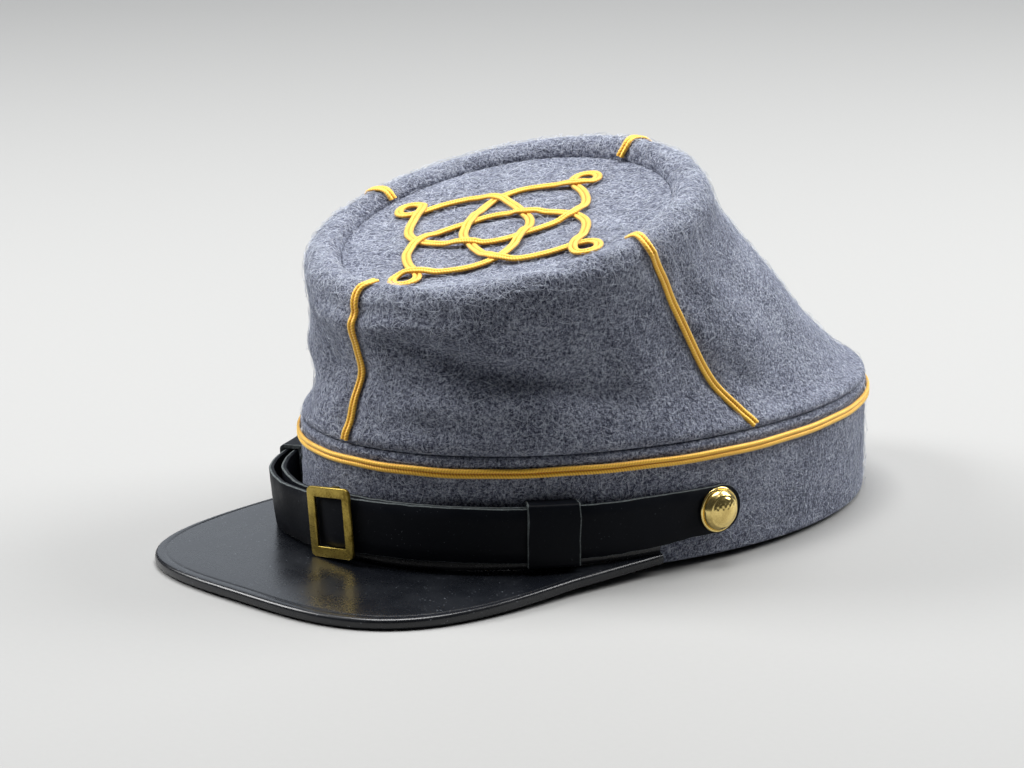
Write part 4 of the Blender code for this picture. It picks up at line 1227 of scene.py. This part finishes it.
def make_peak():
    """Leather visor with a pressed line along its border and a rounded edge. Its inner edge
    is turned up a little against the band."""
    sizes = bpy.context.scene.kepi_sizes
    share = np.linspace(0, 1, PEAK_STEPS + 1)
    inner_edge = oval(PEAK_END_TURN * (1 - share), CLEARANCE)
    outer_edge = peak_outline(share)
    run = outer_edge - inner_edge
    length = np.linalg.norm(run, axis=1)
    narrow = np.clip(length / (12 * MM), 0, 1)
    inset = sizes.crease_inset * narrow
    rows = [(PEAK_INNER_LIFT + 0 * length, 0.0)]
    for spot in (0.12, 0.25, 0.38, 0.5, 0.62, 0.74, 0.85):
        rows.append((spot * (length - 1.6 * inset), 0.0))
    for away, drop in ((1.35, 0.0), (1.18, 0.10), (1.08, 0.6), (1.0, 1.0), (0.92, 0.6), (0.82, 0.05),
                       (0.6, -0.15)):
        rows.append((length - away * inset, drop * sizes.crease_depth * narrow))
    round_over = PEAK_ROUND * np.minimum(1, length / (3 * MM))
    for angle in (0, 22, 45, 68, 90):
        a = radians(angle)
        rows.append((length - round_over * (1 - sin(a)), round_over * (1 - cos(a))))
    upper = []
    lower = []
    outwards = oval_normal(PEAK_END_TURN * (1 - share))
    join = inner_edge + stack(0.0, 0.0, peak_height(inner_edge))
    for out, up in ((0.10, 2.3), (0.10, 0.9), (0.25, 0.35)):
        upper.append(join + outwards * (out * MM) + stack(0.0, 0.0, up * MM))
    for out, down in ((-0.25, -2.3), (-0.25, 0.0), (-0.2, PEAK_THICKNESS / MM - 0.4)):
        lower.append(join + outwards * (out * MM) - stack(0.0, 0.0, down * MM))
    for at, drop in rows:
        point = inner_edge + run * (at / length)[:, None]
        top = peak_height(point)
        upper.append(point + stack(0.0, 0.0, top - drop))
        rise = np.where(at > length - round_over, np.maximum(drop, 0.0), 0.0)
        lower.append(point + stack(0.0, 0.0, top - PEAK_THICKNESS + rise))
    upper = np.stack(upper, axis=1)
    lower = np.stack(lower, axis=1)
    mirror = np.array((-1, 1, 1))
    upper = np.concatenate((upper, (upper * mirror)[-2::-1]))
    lower = np.concatenate((lower, (lower * mirror)[-2::-1]))
    points, faces = walled(upper, lower)
    gloss = leather_material("peak_hide", 0.25, 0.31, 1.0, 0.52)
    piece("peak_visor", points, faces, [gloss], ("peak",), sharp=40)


# Operators, one for each piece or group of like pieces

class KEPI_OT_crown(bpy.types.Operator):
    """Four quarter panels of the crown, with their quarters of the padded rim"""
    bl_idname = "kepi.crown"
    bl_label = "Crown panels"

    def execute(self, context):
        sizes = context.scene.kepi_sizes
        quarters = (("crown_front_left", 0), ("crown_back_left", 1), ("crown_back_right", 2),
                    ("crown_front_right", 3))
        levels = np.concatenate((np.linspace(0, 0.08, 12, endpoint=False), np.linspace(0.08, 1, 44)))
        over = 1 + np.linspace(0, 1, 19)[1:]
        ways = np.concatenate((levels, over))
        for node, quarter in quarters:
            turn = pi / 2 * (quarter + np.linspace(0, 1, PANEL_STEPS + 1))
            gap = CLEARANCE / 2 / metres_per_turn(turn[0])
            turn[0] += gap
            turn[-1] -= gap
            turn_grid, way_grid = np.meshgrid(turn, ways, indexing="ij")
            outer, _ = skin(turn_grid, way_grid, sizes)
            side = turn_grid[:, :len(levels)], way_grid[:, :len(levels)]
            depth = fold(*side) + np.minimum(relief(*side, sizes), 0.0) - CROWN_WALL
            inner_side = slope_point(*side) + slope_normal(*side) * depth[..., None]
            foot = RIM_RADIUS + ROLL_FOOT_INSET
            radius = foot + (tip_radius() - foot) * (way_grid[:, len(levels):] - 1)
            inner_top = on_top(turn_grid[:, len(levels):], radius, -CROWN_WALL + 0 * radius)
            inner_side[:, -1] = on_top(turn, foot, -CROWN_WALL)
            inner = np.concatenate((inner_side, inner_top), axis=1)
            points, faces = walled(outer, inner)
            piece(node + "_cloth", points, faces, [wool_material()], (node,), sharp=60)
        return {"FINISHED"}


class KEPI_OT_tip(bpy.types.Operator):
    """Recessed round top inside the padded rim"""
    bl_idname = "kepi.tip"
    bl_label = "Round top"

    def execute(self, context):
        sizes = context.scene.kepi_sizes
        edge = tip_radius() - CLEARANCE / 2
        turn = 2 * pi * np.arange(TIP_STEPS) / TIP_STEPS
        radius = edge * np.linspace(0.002, 1, 60)
        turn_grid, radius_grid = np.meshgrid(turn, radius, indexing="ij")
        upper = on_top(turn_grid, radius_grid, tip_height(turn_grid, radius_grid, sizes))
        lower = on_top(turn_grid, radius_grid, -CROWN_WALL + 0 * radius_grid)
        points, faces = walled(upper, lower, around=True)
        made = piece("crown_top_cloth", points, faces, [wool_material()], ("crown_top",),
                     sharp=50)
        reshape(made.data, lambda edit: bmesh.ops.holes_fill(edit, edges=edit.edges))
        return {"FINISHED"}


def tip_height(turn, radius, sizes):
    """Height of the round top's cloth, which sinks a little and never rises over its plane."""
    share = radius / tip_radius()
    waves = ((3, 4, 0.3, 0.5), (5, 7, 2.0, 0.3), (8, 11, 4.2, 0.2))
    sink = 0.5 + 0.5 * wave_field(turn, share * 3, waves)
    return -sizes.cloth_ripple * sink * np.clip(share * 4, 0, 1)


class KEPI_OT_band(bpy.types.Operator):
    """Head band of thick wool with turned edges"""
    bl_idname = "kepi.band"
    bl_label = "Head band"

    def execute(self, context):
        sizes = context.scene.kepi_sizes
        turn = 2 * pi * np.arange(BAND_STEPS) / BAND_STEPS
        height = BAND_HEIGHT * np.concatenate((np.linspace(0, 0.06, 8, endpoint=False),
                                               np.linspace(0.06, 0.92, 20, endpoint=False),
                                               np.linspace(0.92, 1, 10)))
        turn_grid, height_grid = np.meshgrid(turn, height, indexing="ij")
        outer = oval(turn_grid, band_out(turn_grid, height_grid, sizes), height_grid)
        inner = oval(turn_grid, -BAND_WALL + 0 * height_grid, height_grid)
        points, faces = walled(outer, inner, around=True)
        piece("band_cloth", points, faces, [wool_material()], ("band",), sharp=60)
        return {"FINISHED"}


def band_out(turn, height, sizes):
    """How far the band's cloth stands out from its oval at a turn and height."""
    waves = ((4, 0, 0.2, 0.3), (7, 40, 1.1, 0.35), (12, 70, 2.6, 0.3), (23, 55, 4.0, 0.2))
    uneven = sizes.cloth_ripple * 0.7 * wave_field(turn, height * 20, waves)
    high = BAND_HEIGHT - height
    ends = 0.7 * MM * (np.exp(-height / (0.5 * MM)) + np.exp(-high / (0.5 * MM)))
    fade = np.clip(np.minimum(height, high) / (3 * MM), 0, 1)
    puff = 0.45 * MM * bell(high - 1.6 * MM, 1.1 * MM)
    press = 0.25 * MM * bell(height - (BAND_HEIGHT - BAND_BRAID_DROP), 1.8 * MM)
    return np.minimum(uneven * fade, 0.25 * MM) - ends + puff - press


class KEPI_OT_braids(bpy.types.Operator):
    """Braid round the band and over the four crown seams"""
    bl_idname = "kepi.braids"
    bl_label = "Band and seam braids"

    def execute(self, context):
        sizes = context.scene.kepi_sizes
        turn = 2 * pi * np.arange(BAND_BRAID_STEPS) / BAND_BRAID_STEPS
        waver = 0.12 * MM * np.sin(7 * turn + 1) + 0.08 * MM * np.sin(23 * turn)
        points = oval(turn, CLEARANCE / 2, BAND_HEIGHT - BAND_BRAID_DROP + waver)
        cord_piece("band_braid_cord", points, oval_normal(turn), ("band_braid",), closed=True)
        for node, seam in (("seam_braid_front", 0), ("seam_braid_left", 1), ("seam_braid_back", 2),
                           ("seam_braid_right", 3)):
            reach = 0.70 if seam < 2 else 0.93
            way = np.concatenate((np.linspace(0.028, 1, 180), 1 + np.linspace(0, reach, 60)[1:]))
            wander = radians(0.35) * np.sin(way * 9 + seam)
            points, normals = skin(pi / 2 * seam + wander, way, sizes, SEAM_BRAID_GAP)
            cord_piece(node + "_cord", points, normals, (node,))
        return {"FINISHED"}


def knot_path():
    """Points of the endless knot over the round top, in the frame of that top."""
    strand = list(KNOT_STRAND) + [(KNOT_STRAND_TURN - turn, share)
                                  for turn, share in reversed(KNOT_STRAND[:-1])]
    guide = []
    over = []
    for quarter in range(4):
        start = -quarter * pi / 2
        for turn in KNOT_OVER:
            row = np.interp(turn, [row[0] for row in strand], range(len(strand)))
            over.append(len(guide) + float(row))
        for turn, share in strand:
            heading = start + radians(turn)
            guide.append((sin(heading) * share * KNOT_REACH, -cos(heading) * share * KNOT_REACH))
        neck = start + radians(KNOT_STRAND_TURN)
        outwards = np.array((sin(neck), -cos(neck)))
        sideways = np.array((cos(neck), sin(neck)))
        for angle in KNOT_LOOP_ANGLES:
            spoke = outwards * sin(radians(angle)) + sideways * cos(radians(angle))
            guide.append(tuple(outwards * KNOT_LOOP_CENTRE + spoke * KNOT_LOOP_RADIUS))
    guide = np.array(guide)
    parts = KNOT_PARTS
    a, b, c, d = (np.roll(guide, -k, axis=0)[:, None] for k in (-1, 0, 1, 2))
    t = (np.arange(parts) / parts)[None, :, None]
    fine = 0.5 * (2 * b + (c - a) * t + (2 * a - 5 * b + 4 * c - d) * t ** 2
                  + (3 * b - a - 3 * c + d) * t ** 3)
    fine = fine.reshape(-1, 2)
    place = np.arange(len(fine)) / parts
    lift = np.zeros(len(fine))
    for crossing in over:
        away = np.abs(place - crossing)
        away = np.minimum(away, len(guide) - away)
        spot = fine[int(np.argmin(away))]
        share = np.clip(1 - (np.linalg.norm(fine - spot, axis=1) / KNOT_HUMP) ** 2, 0, 1)
        lift = np.maximum(lift, np.minimum(1.0, 1.5 * share) * (away < 3))
    for _ in range(KNOT_SMOOTHING):
        lift = (np.roll(lift, 1) + 2 * lift + np.roll(lift, -1)) / 4
    return fine + np.array(KNOT_OFF_CENTRE), lift


class KEPI_OT_knot(bpy.types.Operator):
    """Quatrefoil knot of one endless braid on the round top"""
    bl_idname = "kepi.knot"
    bl_label = "Top knot"

    def execute(self, context):
        sizes = context.scene.kepi_sizes
        flat, lift = knot_path()
        height = 0.2 * MM + lift * (sizes.braid_height * 0.6)
        points = from_top(flat[:, 0], flat[:, 1], height)
        normals = np.broadcast_to(TOP_AXES[2], points.shape)
        cord_piece("top_knot_cord", points, normals, ("top_knot_braid",), closed=True)
        return {"FINISHED"}


class KEPI_OT_fibres(bpy.types.Operator):
    """Stray fibres on the crown, the round top and the band"""
    bl_idname = "kepi.fibres"
    bl_label = "Stray fibres"

    def execute(self, context):
        sizes = context.scene.kepi_sizes
        chance = np.random.default_rng(11)
        count = sizes.crown_fibres
        turns = chance.uniform(0, 2 * pi, count)
        ways = chance.uniform(0.02, 1.75, count)
        fibres("crown_fibres", lambda t, w: skin(t, np.clip(w, 0.01, 1.9), sizes), turns, ways, 21)
        part = count * 3 // 7
        turns = chance.uniform(0, 2 * pi, part)
        ways = np.sqrt(chance.uniform(0.001, 0.94, part))

        def top(turn, share):
            radius = np.clip(share, 0.01, 0.99) * tip_radius()
            points = on_top(turn, radius, tip_height(turn, radius, sizes))
            return points, np.broadcast_to(TOP_AXES[2], points.shape)

        fibres("top_fibres", top, turns, ways, 22)
        turns = chance.uniform(0, 2 * pi, part)
        ways = chance.uniform(0.03, 0.97, part)
        behind_strap = (np.abs((turns + pi) % (2 * pi) - pi) < BUTTON_TURN) & (ways < 0.66)
        turns, ways = turns[~behind_strap], ways[~behind_strap]

        def side(turn, share):
            height = np.clip(share, 0.02, 0.98) * BAND_HEIGHT
            return oval(turn, band_out(turn, height, sizes), height), oval_normal(turn)

        fibres("band_fibres", side, turns, ways, 23)
        return {"FINISHED"}


class KEPI_OT_chin_strap(bpy.types.Operator):
    """The two straps and the sleeves that keep them together"""
    bl_idname = "kepi.chin_strap"
    bl_label = "Chin strap"

    def execute(self, context):
        reach = KEEPER_LENGTH / 4 / metres_per_turn(KEEPER_TURN)
        make_strap("strap_inner_leather", inner_face, BUTTON_TURN, -KEEPER_TURN - reach,
                   ("strap_inner",), 5)
        make_strap("strap_outer_leather", outer_face, -BUTTON_TURN, KEEPER_TURN + reach,
                   ("strap_outer",), 6)
        make_keeper("keeper_left_leather", KEEPER_TURN, ("keeper_left",), 7)
        make_keeper("keeper_right_leather", -KEEPER_TURN, ("keeper_right",), 8)
        return {"FINISHED"}


class KEPI_OT_buckle(bpy.types.Operator):
    """Brass buckle with softened edges"""
    bl_idname = "kepi.buckle"
    bl_label = "Buckle"

    def execute(self, context):
        tint = context.scene.kepi_colours
        aged = brass_material("worn_brass", tint.brass_aged, (0.13, 0.085, 0.012), 0.80, 0.24, 0.46)
        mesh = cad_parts["buckle"].data.copy()
        mesh.name = "buckle_brass"
        mesh.materials.clear()
        mesh.materials.append(aged)
        weld(mesh, 0.005 * MM)
        made = bpy.data.objects.new("buckle_brass", mesh)
        context.scene.collection.objects.link(made)
        soften = made.modifiers.new("soft edges", "BEVEL")
        soften.width = BUCKLE_BEVEL
        soften.segments = 3
        soften.limit_method = "ANGLE"
        soften.angle_limit = radians(35)
        mesh.shade_smooth()
        mesh.set_sharp_from_angle(angle=radians(40))
        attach(made, "root")
        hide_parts("buckle")
        return {"FINISHED"}


class KEPI_OT_buttons(bpy.types.Operator):
    """Two polished domed buttons"""
    bl_idname = "kepi.buttons"
    bl_label = "Buttons"

    def execute(self, context):
        make_button("button_left_brass", BUTTON_TURN, ("button_left",))
        make_button("button_right_brass", -BUTTON_TURN, ("button_right",))
        return {"FINISHED"}


class KEPI_OT_peak(bpy.types.Operator):
    """Glossy leather peak"""
    bl_idname = "kepi.peak"
    bl_label = "Peak"

    def execute(self, context):
        make_peak()
        return {"FINISHED"}


class KEPI_OT_stage(bpy.types.Operator):
    """Pale floor, soft lights and the camera"""
    bl_idname = "kepi.stage"
    bl_label = "Stage"

    def execute(self, context):
        stage = context.scene.kepi_stage
        half = stage.floor_size / 2
        mesh = bpy.data.meshes.new("floor")
        mesh.from_pydata([(-half, -half, 0), (half, -half, 0), (half, half, 0), (-half, half, 0)], [],
                         [(0, 1, 2, 3)])
        made, tree, shader = new_material("floor_paper", stage.floor_colour, Roughness=0.7)
        where = own_place(tree)
        tooth = noise(tree, where, 420, 3.0, 0.6)
        paler = tuple(min(1.0, 1.04 * c) for c in stage.floor_colour)
        paper = blend_colours(tree, tooth, (*stage.floor_colour, 1), (*paler, 1))
        connect(tree, paper, shader.inputs["Base Color"])
        mesh.materials.append(made)
        floor = bpy.data.objects.new("floor", mesh)
        context.scene.collection.objects.link(floor)
        floor.location.z = -FLOOR_DROP
        world = bpy.data.worlds.new("studio")
        world.use_nodes = True
        sky = world.node_tree.nodes["Background"]
        sky.inputs["Color"].default_value = SKY_COLOUR
        sky.inputs["Strength"].default_value = SKY_STRENGTH
        context.scene.world = world
        middle = Vector((0, 0, LAMP_AIM_HEIGHT))
        for name, azimuth, elevation, distance, width, height, power in LIGHTS:
            lamp = bpy.data.lights.new(name, "AREA")
            lamp.shape = "RECTANGLE"
            lamp.size = width
            lamp.size_y = height
            lamp.energy = power
            a, e = radians(azimuth), radians(elevation)
            out = Vector((sin(a) * cos(e), -cos(a) * cos(e), sin(e)))
            light = bpy.data.objects.new(name, lamp)
            light.location = middle + out * distance
            light.rotation_euler = out.to_track_quat("Z", "Y").to_euler()
            lamp.color = LAMP_TINTS.get(name, (1.0, 1.0, 1.0))
            context.scene.collection.objects.link(light)
        level = Vector((sin(stage.azimuth), -cos(stage.azimuth), 0))
        back = level * cos(stage.elevation) + Vector((0, 0, sin(stage.elevation)))
        right = Vector((cos(stage.azimuth), sin(stage.azimuth), 0))
        up = back.cross(right)
        turned_right = right * cos(stage.roll) + up * sin(stage.roll)
        turned_up = back.cross(turned_right)
        target = Vector((0, 0, VIEW_HEIGHT)) - right * VIEW_RIGHT - up * VIEW_UP
        view = Matrix((turned_right, turned_up, back)).transposed().to_4x4()
        view.translation = target + back * stage.distance
        camera = bpy.data.objects.new("camera", bpy.data.cameras.new("camera"))
        camera.data.lens = stage.lens
        camera.data.sensor_width = SENSOR_WIDTH
        camera.matrix_world = REST @ view
        context.scene.collection.objects.link(camera)
        context.scene.camera = camera
        context.scene.view_settings.view_transform = "Standard"
        return {"FINISHED"}


class KEPI_PT_panel(bpy.types.Panel):
    """Lists the kepi's sizes, colours and pieces"""
    bl_label = "Kepi cap"
    bl_space_type = "VIEW_3D"
    bl_region_type = "UI"
    bl_category = "Kepi"

    def draw(self, context):
        for group in (context.scene.kepi_sizes, context.scene.kepi_colours, context.scene.kepi_stage):
            box = self.layout.box()
            for key in group.__annotations__:
                box.prop(group, key)
        for operator in OPERATORS:
            self.layout.operator(operator.bl_idname)


OPERATORS = (KEPI_OT_stage, KEPI_OT_band, KEPI_OT_crown, KEPI_OT_tip, KEPI_OT_braids, KEPI_OT_knot,
             KEPI_OT_fibres, KEPI_OT_chin_strap, KEPI_OT_buckle, KEPI_OT_buttons, KEPI_OT_peak)
CLASSES = (KepiSizes, KepiColours, KepiStage) + OPERATORS + (KEPI_PT_panel,)


def register():
    """Register the classes and their settings."""
    for item in CLASSES:
        bpy.utils.register_class(item)
    bpy.types.Scene.kepi_sizes = PointerProperty(type=KepiSizes)
    bpy.types.Scene.kepi_colours = PointerProperty(type=KepiColours)
    bpy.types.Scene.kepi_stage = PointerProperty(type=KepiStage)


def unregister():
    """Remove the settings and the classes."""
    del bpy.types.Scene.kepi_stage
    del bpy.types.Scene.kepi_colours
    del bpy.types.Scene.kepi_sizes
    for item in reversed(CLASSES):
        bpy.utils.unregister_class(item)


def main():
    """Build every piece."""
    register()
    for operator in OPERATORS:
        group, name = operator.bl_idname.split(".")
        getattr(getattr(bpy.ops, group), name)()


if __name__ == "__main__":
    main()
